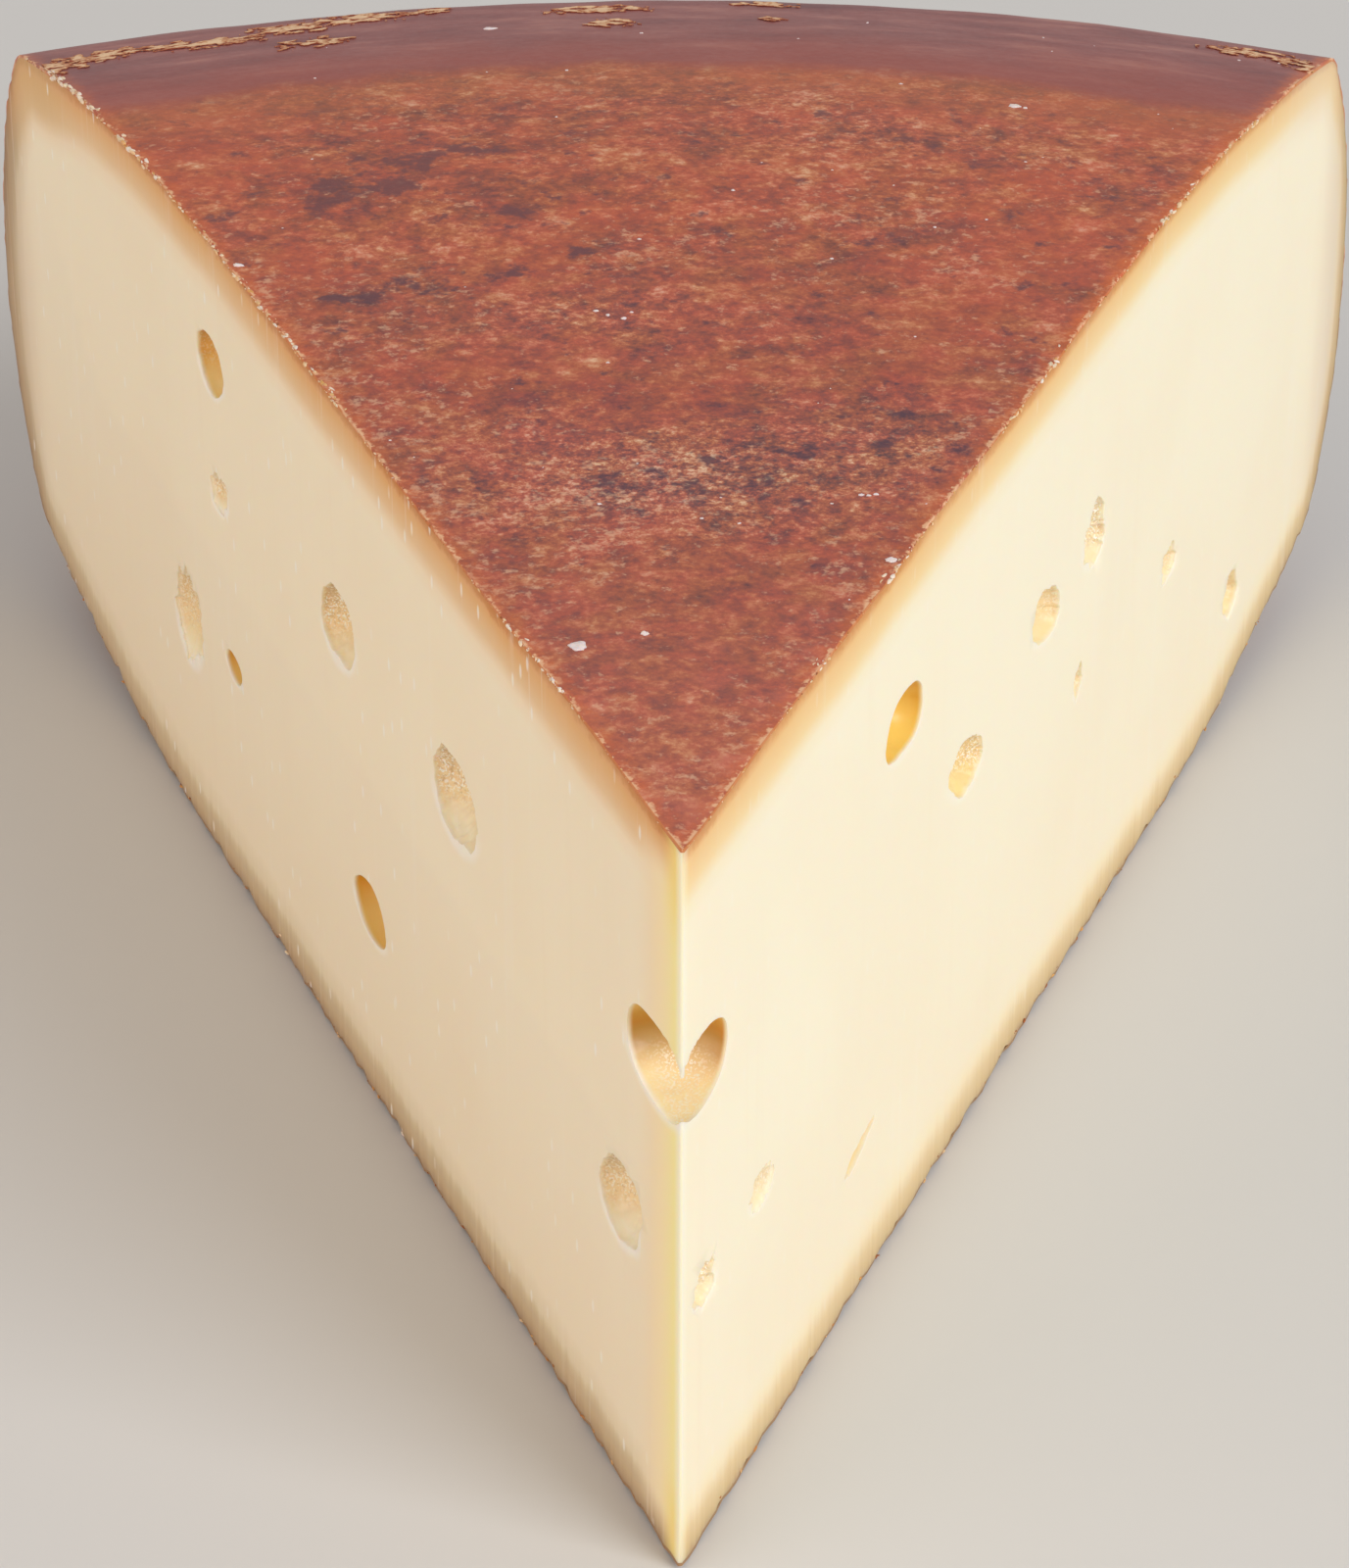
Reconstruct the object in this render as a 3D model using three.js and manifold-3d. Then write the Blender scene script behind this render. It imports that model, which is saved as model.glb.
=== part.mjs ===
// One eighth of a washed-rind mountain cheese wheel, cut from the centre out to the rind.
//
// Millimetres, +Z up. The tip, where the two cuts meet, points to -Y and the rind heel to +Y.
// The origin is the middle of the wedge's box, on the face it rests on.
// While it is being cut the wedge stands where it stood in the wheel, with the wheel's axis at x = y = 0.

import * as THREE from 'three';
import { mergeVertices } from 'three/addons/utils/BufferGeometryUtils.js';
import Module from 'manifold-3d';

// ---- The wheel ----
const WHEEL_HEIGHT = 80;
const WHEEL_RADIUS = 210;
const CENTRE_DIP = 0.3; // how far the top sinks towards the wheel's axis
const SHOULDER_DROP = 8.5; // from the top down to the heel's upper edge
const SHOULDER_RISE = 8.5; // from the underside up to the heel's lower edge
const BELLY = 0.5; // how far the corners of the rounded heel stand beyond the radius

// Corners of half the wheel's section, from the axis underneath round to the axis on top.
// round is how far along both neighbouring sides a corner is eased.
const SECTION_CORNERS = [
  { radius: 0, height: 0, round: 0 },
  { radius: 160, height: 0, round: 14 },
  { radius: 202, height: SHOULDER_RISE, round: 5 },
  { radius: WHEEL_RADIUS + BELLY, height: 24, round: 12 },
  { radius: WHEEL_RADIUS + BELLY, height: 54, round: 15 },
  { radius: 199.5, height: WHEEL_HEIGHT - SHOULDER_DROP, round: 3 },
  { radius: 160, height: WHEEL_HEIGHT, round: 37 },
  { radius: 0, height: WHEEL_HEIGHT - CENTRE_DIP, round: 0 },
];
const RING_SPACING = 8;
const CORNER_STEPS = 3; // fewest rings round an eased corner
const WHEEL_SEGMENTS = 192;

// ---- Unevenness of the rind: waves that shrink and turn from one to the next ----
const WAVE_COUNT = 5;
const LONGEST_WAVE = 108;
const HIGHEST_WAVE = 0.25;
const WAVE_RATIO = 0.59;
const WAVE_TURN = THREE.MathUtils.degToRad(137.5);
const WAVE_START = Math.PI;
const WAVE_SHIFT = 0.8;
const FLAT_MARGIN = 8; // the waves fade out over this height, so that the underside stays flat

// ---- The cuts ----
const HALF_ANGLE = THREE.MathUtils.degToRad(45 / 2);
const TIP_SETBACK = 0.4; // the cuts meet just short of the wheel's axis
const CUT_OVERRUN = 20;
const LEFT = -1;
const RIGHT = 1;

// ---- Torn lower edges of the cut faces ----
const TEAR_HEIGHT = 1.1;
const TEAR_STEP = 2.1;
const TEAR_SLOPE = THREE.MathUtils.degToRad(14);
const TEAR_REACH = 7;
const TEAR_WAVES = [5.3, 3.4, 11.7];

// ---- Eyes: where each opens on a cut face, measured from the tip and from the underside ----
const EYES = [
  { side: LEFT, along: 14.4, up: 33.1, wide: 10.9, tall: 8.8, deep: 3.2, turn: 10 },
  { side: LEFT, along: 56.8, up: 52.0, wide: 12.0, tall: 9.9, deep: 3.4, turn: 0 },
  { side: LEFT, along: 90.4, up: 53.4, wide: 10.4, tall: 8.8, deep: 3.4, turn: 12 },
  { side: LEFT, along: 129.6, up: 64.2, wide: 8.3, tall: 6.8, deep: 4.2, turn: 0 },
  { side: LEFT, along: 128.5, up: 49.3, wide: 6.4, tall: 4.8, deep: 1.0, turn: 15 },
  { side: LEFT, along: 83.2, up: 23.2, wide: 9.6, tall: 6.1, deep: 4.8, turn: -12 },
  { side: LEFT, along: 126.1, up: 28.8, wide: 5.1, tall: 3.2, deep: 3.0, turn: -10 },
  { side: LEFT, along: 142.1, up: 27.2, wide: 9.6, tall: 12.0, deep: 1.4, turn: 0 },
  { side: RIGHT, along: 56.3, up: 61.1, wide: 9.9, tall: 7.2, deep: 4.6, turn: 0 },
  { side: RIGHT, along: 74.9, up: 45.6, wide: 10.4, tall: 6.4, deep: 2.4, turn: -12 },
  { side: RIGHT, along: 99.0, up: 50.1, wide: 9.6, tall: 6.1, deep: 2.6, turn: -14 },
  { side: RIGHT, along: 114.1, up: 51.5, wide: 8.0, tall: 6.7, deep: 1.8, turn: -20 },
  { side: RIGHT, along: 5.8, up: 29.6, wide: 6.0, tall: 4.8, deep: 1.2, turn: 0 },
  { side: RIGHT, along: 19.8, up: 30.9, wide: 6.7, tall: 4.5, deep: 1.0, turn: -10 },
  { side: RIGHT, along: 46.4, up: 17.6, wide: 8.0, tall: 2.0, deep: 1.6, turn: 16 },
  { side: RIGHT, along: 110.9, up: 35.5, wide: 2.6, tall: 4.4, deep: 1.4, turn: -20 },
  { side: RIGHT, along: 142.2, up: 33.6, wide: 5.8, tall: 4.2, deep: 1.2, turn: -10 },
  { side: RIGHT, along: 168.3, up: 15.8, wide: 5.8, tall: 5.8, deep: 2.2, turn: 0 },
];
const EYE_SEGMENTS = 10; // round the smallest eye, with one more for each EYE_DETAIL of width
const EYE_DETAIL = 1.6;
const EYE_RINGS = 4;
const EYE_LIP = 0.4; // how far a cutting plug stands out of the face, in mouth radii
const EYE_LUMPS = [0.05, 0.035, 0.025]; // share of the radius, at two, three and four lobes

// ---- The eye that the tip's edge runs through ----
const TIP_EYE_CENTRE = new THREE.Vector3(-1.5, 6.2, 53.8);
const TIP_EYE_RADII = new THREE.Vector3(7.1, 7.2, 4.3);
const TIP_EYE_FLATNESS = 3; // 2 is a round bubble, more has a flatter floor and roof
const TIP_EYE_SEGMENTS = 22;
const TIP_EYE_RINGS = 14;

const PASTE = new THREE.MeshStandardMaterial({ color: 0xf2e2bc, roughness: 0.55, metalness: 0 });

const wasm = await Module();
wasm.setup();

/** Turns a closed geometry into a solid that can be cut. */
function toSolid(geometry) {
  geometry.deleteAttribute('normal');
  geometry.deleteAttribute('uv');
  const merged = mergeVertices(geometry);
  const corners = merged.index.array;
  const kept = [];
  for (let first = 0; first < corners.length; first += 3) {
    const [a, b, c] = corners.slice(first, first + 3);
    if (a !== b && b !== c && c !== a) {
      kept.push(a, b, c);
    }
  }
  return new wasm.Manifold(new wasm.Mesh({
    numProp: 3,
    vertProperties: new Float32Array(merged.attributes.position.array),
    triVerts: new Uint32Array(kept),
  }));
}

/** Turns a solid back into a geometry. */
function toGeometry(solid) {
  const mesh = solid.getMesh();
  const geometry = new THREE.BufferGeometry();
  geometry.setAttribute('position', new THREE.BufferAttribute(mesh.vertProperties, 3));
  geometry.setIndex(new THREE.BufferAttribute(mesh.triVerts, 1));
  geometry.computeVertexNormals();
  return geometry;
}

/** Moves every point of a geometry by the rule given. */
function movePoints(geometry, rule) {
  const positions = geometry.attributes.position;
  const point = new THREE.Vector3();
  for (let index = 0; index < positions.count; index += 1) {
    rule(point.fromBufferAttribute(positions, index));
    positions.setXYZ(index, point.x, point.y, point.z);
  }
  return geometry;
}

/** A point on the way from one corner of the section to the next. */
function onTheWay(from, to, distance) {
  const start = new THREE.Vector2(from.radius, from.height);
  const end = new THREE.Vector2(to.radius, to.height);
  return start.lerp(end, distance / start.distanceTo(end));
}

/** The section's outline: straight sides, with each corner eased by a curve. */
function sectionOutline() {
  const outline = new THREE.Path();
  SECTION_CORNERS.forEach((corner, index) => {
    if (index === 0) {
      outline.moveTo(corner.radius, corner.height);
    } else if (corner.round === 0) {
      outline.lineTo(corner.radius, corner.height);
    } else {
      const before = onTheWay(corner, SECTION_CORNERS[index - 1], corner.round);
      const after = onTheWay(corner, SECTION_CORNERS[index + 1], corner.round);
      outline.lineTo(before.x, before.y);
      outline.quadraticCurveTo(corner.radius, corner.height, after.x, after.y);
    }
  });
  return outline;
}

/** Rings of the wheel: points along the outline, close enough to carry its waves where it has them. */
function sectionRings() {
  const rings = [];
  for (const stretch of sectionOutline().curves) {
    const isUnderside = stretch.getPoint(1).y === 0;
    const fewest = stretch.type === 'LineCurve' ? 1 : CORNER_STEPS;
    const steps = isUnderside ? 1 : Math.max(fewest, Math.ceil(stretch.getLength() / RING_SPACING));
    rings.push(...stretch.getSpacedPoints(steps).slice(0, steps));
  }
  rings.push(new THREE.Vector2(0, WHEEL_HEIGHT - CENTRE_DIP));
  return rings;
}

/** Height of the rind's waves at a place on the wheel. */
function unevenness(place) {
  let height = 0;
  for (let wave = 0; wave < WAVE_COUNT; wave += 1) {
    const shrink = WAVE_RATIO ** wave;
    const heading = wave * WAVE_TURN;
    const travel = place.x * Math.cos(heading) + place.y * Math.sin(heading) + place.z;
    const phase = (2 * Math.PI * travel) / (LONGEST_WAVE * shrink) + WAVE_START + wave * WAVE_SHIFT;
    height += HIGHEST_WAVE * shrink * Math.sin(phase);
  }
  return height;
}

/** Pushes a point of the rind in or out by the waves. The flat underside stays flat. */
function weather(place) {
  const fade = THREE.MathUtils.clamp(place.z / FLAT_MARGIN, 0, 1);
  const radius = Math.hypot(place.x, place.y);
  const coreRadius = WHEEL_RADIUS - WHEEL_HEIGHT / 2;
  const reach = Math.max(0, radius - coreRadius) / Math.max(radius, 1);
  const outward = new THREE.Vector3(place.x * reach, place.y * reach, place.z - WHEEL_HEIGHT / 2);
  place.addScaledVector(outward.normalize(), fade * unevenness(place));
}

/** The whole wheel. */
function wheel() {
  const halfStep = Math.PI / WHEEL_SEGMENTS;
  const geometry = new THREE.LatheGeometry(sectionRings(), WHEEL_SEGMENTS, halfStep);
  geometry.rotateX(Math.PI / 2);
  return toSolid(movePoints(geometry, weather));
}

/** The space between the two knife cuts. */
function cutSector() {
  const reach = WHEEL_RADIUS + CUT_OVERRUN;
  const sector = new THREE.Shape();
  sector.moveTo(0, TIP_SETBACK);
  sector.lineTo(reach * Math.tan(HALF_ANGLE), TIP_SETBACK + reach);
  sector.lineTo(-reach * Math.tan(HALF_ANGLE), TIP_SETBACK + reach);
  const depth = WHEEL_HEIGHT + 2 * CUT_OVERRUN;
  const geometry = new THREE.ExtrudeGeometry(sector, { depth, bevelEnabled: false });
  geometry.translate(0, 0, -CUT_OVERRUN);
  return toSolid(geometry);
}

/** Placement on a cut face: local x runs along the face, y up, and z out of the cheese. */
function onCutFace(side, along, up) {
  const outward = new THREE.Vector3(side * Math.cos(HALF_ANGLE), -Math.sin(HALF_ANGLE), 0);
  const upward = new THREE.Vector3(0, 0, 1);
  const sideways = new THREE.Vector3().crossVectors(upward, outward);
  const place = sideways.clone().multiplyScalar(side * along);
  place.y += TIP_SETBACK;
  place.z += up;
  return new THREE.Matrix4().makeBasis(sideways, upward, outward).setPosition(place);
}

/** Makes a shape round the z axis uneven by moving one of its points nearer to the axis or further out. */
function makeLumpy(point, seed) {
  const angle = Math.atan2(point.y, point.x);
  let share = 1;
  EYE_LUMPS.forEach((size, index) => {
    share += size * Math.sin((index + 2) * angle + seed * (index + 1));
  });
  point.x *= share;
  point.y *= share;
}

/** A plug that cuts one eye: part of a bubble, wide and tall at the face and deep behind it. */
function eyePlug(eye, seed) {
  const mouth = (eye.wide + eye.tall) / 4;
  const depth = eye.deep / mouth;
  const bubble = (1 + depth * depth) / (2 * depth);
  const middle = bubble - depth;
  const sweep = Math.acos(middle / bubble);
  const section = [];
  for (let ring = 0; ring <= EYE_RINGS; ring += 1) {
    const angle = (sweep * ring) / EYE_RINGS;
    section.push(new THREE.Vector2(bubble * Math.sin(angle), middle - bubble * Math.cos(angle)));
  }
  section.push(new THREE.Vector2(1 + EYE_LIP, EYE_LIP), new THREE.Vector2(0, EYE_LIP));
  const segments = EYE_SEGMENTS + Math.round(eye.wide / EYE_DETAIL);
  const geometry = new THREE.LatheGeometry(section, segments);
  geometry.rotateX(Math.PI / 2);
  movePoints(geometry, (point) => makeLumpy(point, seed));
  geometry.scale(eye.wide / 2, eye.tall / 2, mouth);
  geometry.rotateZ(THREE.MathUtils.degToRad(eye.turn));
  geometry.applyMatrix4(onCutFace(eye.side, eye.along, eye.up));
  return toSolid(geometry);
}

/** Raises or lowers a point of a round bubble to where a flatter one has it. */
function flatten(point) {
  const reach = Math.min(1, Math.hypot(point.x, point.y));
  point.z = Math.sign(point.z) * Math.sqrt(1 - reach ** TIP_EYE_FLATNESS);
}

/** The bubble that opens on both cut faces and interrupts the edge between them. */
function tipEyePlug() {
  const geometry = new THREE.SphereGeometry(1, TIP_EYE_SEGMENTS, TIP_EYE_RINGS);
  geometry.rotateX(Math.PI / 2);
  movePoints(geometry, (point) => {
    flatten(point);
    makeLumpy(point, 1);
  });
  geometry.scale(...TIP_EYE_RADII);
  geometry.translate(...TIP_EYE_CENTRE);
  return toSolid(geometry);
}

/** How much of the lower edge is torn away at a distance along the cut. */
function tearHeight(along, side) {
  const waves = TEAR_WAVES.map((length, index) => Math.sin((2 * Math.PI * along) / length + side * (index + 1)));
  const mean = waves.reduce((sum, wave) => sum + wave, 0) / waves.length;
  return TEAR_HEIGHT * (0.5 + 0.5 * mean) ** 2;
}

/** A sliver that tears the lower edge of one cut face, sloping down under the cheese. */
function tornEdge(side) {
  const length = WHEEL_RADIUS;
  const steps = Math.round(length / TEAR_STEP);
  const profile = new THREE.Shape();
  profile.moveTo(side * length, -TEAR_REACH);
  profile.lineTo(-side * TEAR_REACH, -TEAR_REACH);
  for (let step = 0; step <= steps; step += 1) {
    const along = (length * step) / steps;
    profile.lineTo(side * along, tearHeight(along, side));
  }
  const geometry = new THREE.ExtrudeGeometry(profile, { depth: 2 * TEAR_REACH, bevelEnabled: false });
  geometry.translate(0, 0, -TEAR_REACH);
  geometry.rotateX(-TEAR_SLOPE);
  geometry.applyMatrix4(onCutFace(side, 0, 0));
  return toSolid(geometry);
}

/** The wedge: a sector of the wheel with its eyes opened and its lower edges torn. */
function wedgeSolid() {
  let wedge = wheel().intersect(cutSector());
  for (const side of [LEFT, RIGHT]) {
    wedge = wedge.subtract(tornEdge(side));
  }
  EYES.forEach((eye, index) => {
    wedge = wedge.subtract(eyePlug(eye, index));
  });
  return wedge.subtract(tipEyePlug());
}

const wedge = new THREE.Mesh(toGeometry(wedgeSolid()), PASTE);
wedge.name = 'cheese_wedge';
wedge.geometry.computeBoundingBox();
const { min, max } = wedge.geometry.boundingBox;
wedge.position.set(-(min.x + max.x) / 2, -(min.y + max.y) / 2, -min.z);

const cheese = new THREE.Group();
cheese.add(wedge);

export default cheese;
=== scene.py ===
"""Looks of one eighth of a washed-rind mountain cheese wheel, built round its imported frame.

The classes work in millimetres in the wheel's own frame: the wheel's axis is the Z axis, the wedge's tip
stands next to it, the heel looks towards +Y and the underside lies at z = 0. Finished meshes are moved into
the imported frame, in metres.
"""

import logging
import math
import random
from abc import ABC, abstractmethod
from collections.abc import Callable, Iterable, Sequence
from dataclasses import dataclass, field
from enum import Enum
from functools import cached_property
from typing import ClassVar

import bmesh
import bpy
import numpy as np
from mathutils import Euler, Matrix, Vector, noise
from mathutils.bvhtree import BVHTree


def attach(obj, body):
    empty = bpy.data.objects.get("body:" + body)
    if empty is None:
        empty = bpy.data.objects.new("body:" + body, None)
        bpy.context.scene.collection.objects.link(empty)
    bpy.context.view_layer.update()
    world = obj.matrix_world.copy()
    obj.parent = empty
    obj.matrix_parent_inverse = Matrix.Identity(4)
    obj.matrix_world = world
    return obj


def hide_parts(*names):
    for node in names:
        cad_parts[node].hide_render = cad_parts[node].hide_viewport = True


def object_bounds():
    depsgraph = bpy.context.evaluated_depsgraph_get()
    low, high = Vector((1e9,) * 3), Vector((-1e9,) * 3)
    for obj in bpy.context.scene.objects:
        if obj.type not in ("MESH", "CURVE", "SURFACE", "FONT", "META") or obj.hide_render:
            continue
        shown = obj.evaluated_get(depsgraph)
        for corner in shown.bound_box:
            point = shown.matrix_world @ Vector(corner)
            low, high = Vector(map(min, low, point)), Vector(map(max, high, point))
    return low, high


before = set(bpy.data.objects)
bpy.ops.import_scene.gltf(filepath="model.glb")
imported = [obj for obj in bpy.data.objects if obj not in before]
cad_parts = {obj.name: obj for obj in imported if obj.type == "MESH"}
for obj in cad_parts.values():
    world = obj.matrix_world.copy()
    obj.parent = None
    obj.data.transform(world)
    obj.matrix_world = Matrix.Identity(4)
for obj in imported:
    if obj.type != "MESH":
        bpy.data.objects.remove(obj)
CAD_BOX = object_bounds()
NODE = "cheese_wedge"

LOG = logging.getLogger("cheese_wedge")

MM = 0.001
WHEEL_AXIS = Vector((0.088, -105.452, 0.0))
TIP = Vector((0.0, 0.4, 0.0))
HALF_ANGLE = math.radians(22.5)
UP = Vector((0.0, 0.0, 1.0))
DOWN = Vector((0.0, 0.0, -1.0))
SKY = 200.0
BARE = -100.0
ON_PLANE = 0.02
MERGE = 1e-4
PEBBLE_FALL = 2.2
COLUMNS = 100


class Side(Enum):
    """The two cut faces, as seen from the tip."""

    LEFT = -1
    RIGHT = 1

    @property
    def along(self) -> Vector:
        """Direction on this cut from the tip towards the heel."""
        return Vector((self.value * math.sin(HALF_ANGLE), math.cos(HALF_ANGLE), 0.0))

    @property
    def outward(self) -> Vector:
        """Direction out of the cheese through this cut."""
        return Vector((self.value * math.cos(HALF_ANGLE), -math.sin(HALF_ANGLE), 0.0))

    def placement(self, along: float, up: float) -> Matrix:
        """Gives the placement of a shape on this cut.

        Args:
            along: Distance from the tip, in millimetres.
            up: Height above the underside, in millimetres.

        Returns:
            A matrix whose X runs along the cut, whose Y points up and whose Z points out of the cheese.
        """
        sideways = UP.cross(self.outward)
        matrix = Matrix((sideways, UP, self.outward)).transposed().to_4x4()
        matrix.translation = TIP + self.along * along + UP * up
        return matrix


def depth_inside(points: np.ndarray, side: Side) -> np.ndarray:
    """Measures how far points lie inside the cheese from a cut's plane.

    Args:
        points: Places in the wheel's frame, one a row.
        side: The cut.

    Returns:
        Distances, above zero inside the cheese.
    """
    return -(points - np.array(TIP)) @ np.array(side.outward)


def depth_from_cuts(points: np.ndarray) -> np.ndarray:
    """Measures how far points lie inside the cheese from the nearest cut's plane."""
    return np.minimum(*(depth_inside(points, side) for side in Side))


def lies_on_cut(points: np.ndarray) -> np.ndarray:
    """Tells which points lie on a cut's plane."""
    return np.minimum(*(np.abs(depth_inside(points, side)) for side in Side)) < ON_PLANE


def distance_along(points: np.ndarray) -> np.ndarray:
    """Gives each point's distance from the tip's line, measured level."""
    return np.hypot(points[:, 0] - TIP.x, points[:, 1] - TIP.y)


def on_section(points: np.ndarray) -> np.ndarray:
    """Gives rows of distance from the tip's line and height, as the wheel's section has."""
    return np.stack([distance_along(points), points[:, 2]], axis=1)


def read_points(mesh: bpy.types.Mesh) -> np.ndarray:
    """Reads a mesh's vertices as an array.

    Args:
        mesh: The mesh.

    Returns:
        The vertices' places, one a row.
    """
    points = np.empty(len(mesh.vertices) * 3, np.float32)
    mesh.vertices.foreach_get("co", points)
    return points.reshape(-1, 3).astype(float)


def write_points(mesh: bpy.types.Mesh, points: np.ndarray) -> None:
    """Moves a mesh's vertices to the places in an array."""
    mesh.vertices.foreach_set("co", points.astype(np.float32).ravel())
    mesh.update()


def paint(mesh: bpy.types.Mesh, name: str, values: np.ndarray) -> None:
    """Stores one number a vertex as an attribute that materials read.

    Args:
        mesh: The mesh that is painted.
        name: The attribute's name.
        values: One number for each vertex.
    """
    attribute = mesh.attributes.get(name) or mesh.attributes.new(name, "FLOAT", "POINT")
    attribute.data.foreach_set("value", values.astype(np.float32))


def roughness_at(points: np.ndarray, size: float, octaves: int = 3, seed: float = 0.0) -> np.ndarray:
    """Evaluates even noise at many places.

    Args:
        points: Places, one a row.
        size: Width of the largest bumps, in the points' units.
        octaves: How many finer layers are added.
        seed: Moves the pattern elsewhere.

    Returns:
        Values round zero, mostly between -1 and 1.
    """
    shift = Vector((seed * 17.3, seed * 5.1, seed * 9.7))
    return np.array([noise.fractal(Vector(point) / size + shift, 1.0, 2.0, octaves) for point in points])


def make_object(name: str, shape: bmesh.types.BMesh) -> bpy.types.Object:
    """Turns a bmesh into an object in the scene and frees the bmesh.

    Args:
        name: The object's name.
        shape: The finished shape.

    Returns:
        The new object, at the origin.
    """
    mesh = bpy.data.meshes.new(name)
    shape.to_mesh(mesh)
    shape.free()
    piece = bpy.data.objects.new(name, mesh)
    bpy.context.scene.collection.objects.link(piece)
    return piece


def joined(parts: Iterable[bmesh.types.BMesh]) -> bmesh.types.BMesh:
    """Puts many shapes together and frees them.

    Args:
        parts: The shapes.

    Returns:
        One shape with all of them.
    """
    whole = bmesh.new()
    holder = bpy.data.meshes.new("holder")
    for part in parts:
        part.to_mesh(holder)
        part.free()
        whole.from_mesh(holder)
    bpy.data.meshes.remove(holder)
    return whole


def finish_piece(piece: bpy.types.Object, finish: bpy.types.Material, crease: float) -> None:
    """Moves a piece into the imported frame, dresses it and lets it ride on the part.

    Args:
        piece: The piece, in millimetres in the wheel's frame.
        finish: Its material.
        crease: Faces that meet at more than this angle keep a sharp edge.
    """
    mesh = piece.data
    mesh.transform(Matrix.Scale(MM, 4) @ Matrix.Translation(WHEEL_AXIS))
    mesh.materials.clear()
    mesh.materials.append(finish)
    mesh.shade_smooth()
    mesh.set_sharp_from_angle(angle=crease)
    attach(piece, "root")
    LOG.info("%s: %d faces", piece.name, len(mesh.polygons))


# ---- The wheel's section, waves and wear ----


@dataclass(frozen=True)
class Corner:
    """A corner of the section and how far along both its sides it is eased."""

    radius: float
    height: float
    round: float


@dataclass(frozen=True)
class WheelSection:
    """Half of the wheel's section, from the tip underneath, round the heel, to the tip on top."""

    height: float = 80.0
    radius: float = 210.0
    belly: float = 0.5
    centre_dip: float = 0.3
    shoulder: float = 8.5
    tip_radius: float = 0.55
    top_spacing: float = 1.1
    low_spacing: float = 1.7
    fine_step: float = 0.1

    def corners(self) -> list[Corner]:
        """Lists the section's corners.

        Returns:
            The corners from underneath, round the heel, to the top, measured from the wheel's axis.
        """
        top = self.height - self.shoulder
        return [
            Corner(160.0, 0.0, 14.0),
            Corner(202.0, self.shoulder, 5.0),
            Corner(self.radius + self.belly, 24.0, 12.0),
            Corner(self.radius + self.belly, 54.0, 15.0),
            Corner(199.5, top, 3.0),
            Corner(160.0, self.height, 37.0),
        ]

    @cached_property
    def fine_outline(self) -> np.ndarray:
        """The outline in very short steps.

        Returns:
            Rows of distance from the tip's line and height.
        """
        start = Vector((0.0, 0.0))
        end = Vector((0.0, self.height - self.centre_dip))
        corners = self.corners()
        places = [start, *(Vector((corner.radius, corner.height)) for corner in corners), end]
        points = [start]
        for index, corner in enumerate(corners, start=1):
            place = places[index]
            before = place + (places[index - 1] - place).normalized() * corner.round
            after = place + (places[index + 1] - place).normalized() * corner.round
            points.append(before)
            steps = round(2 * corner.round / self.fine_step)
            for step in range(1, steps + 1):
                share = step / steps
                points.append(before.lerp(place, share).lerp(place.lerp(after, share), share))
        points.append(end)
        outline = np.array([tuple(point) for point in points])
        outline[:, 0] -= TIP.y
        return outline

    def outline(self) -> np.ndarray:
        """Spaces points round the outline, closer on top than below, from the blunt tip and back to it.

        Returns:
            Rows of distance from the tip's line and height.
        """
        fine = self.fine_outline
        travelled = np.concatenate([[0.0], np.cumsum(np.hypot(*np.diff(fine, axis=0).T))])
        start = self.tip_radius + TIP.y
        end = travelled[-1] - start
        stops = [start]
        while stops[-1] < end:
            height = np.interp(stops[-1], travelled, fine[:, 1])
            spacing = self.top_spacing if height > self.height / 2 else self.low_spacing
            stops.append(stops[-1] + spacing)
        if end - stops[-2] < self.top_spacing / 2:
            stops.pop()
        stops[-1] = end
        points = np.stack([np.interp(stops, travelled, fine[:, axis]) for axis in range(2)], axis=1)
        points[[0, -1], 0] = self.tip_radius
        return points

    def inset(self, outline: np.ndarray, depth: float) -> np.ndarray:
        """Moves an outline into the cheese.

        Args:
            outline: Rows of distance from the tip's line and height.
            depth: How far it moves.

        Returns:
            The moved rows. Both ends stay at the blunt tip.
        """
        heading = np.gradient(outline, axis=0)
        heading /= np.hypot(*heading.T)[:, None]
        moved = outline + depth * np.stack([-heading[:, 1], heading[:, 0]], axis=1)
        moved[[0, -1], 0] = self.tip_radius
        return moved

    def underside_at(self, radii: np.ndarray) -> np.ndarray:
        """Gives the height of the section's lower side.

        Args:
            radii: Distances from the tip's line.

        Returns:
            A height for each distance.
        """
        fine = self.fine_outline
        lower = fine[: int(np.argmax(fine[:, 0]))]
        return np.interp(radii, lower[:, 0], lower[:, 1])


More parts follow.
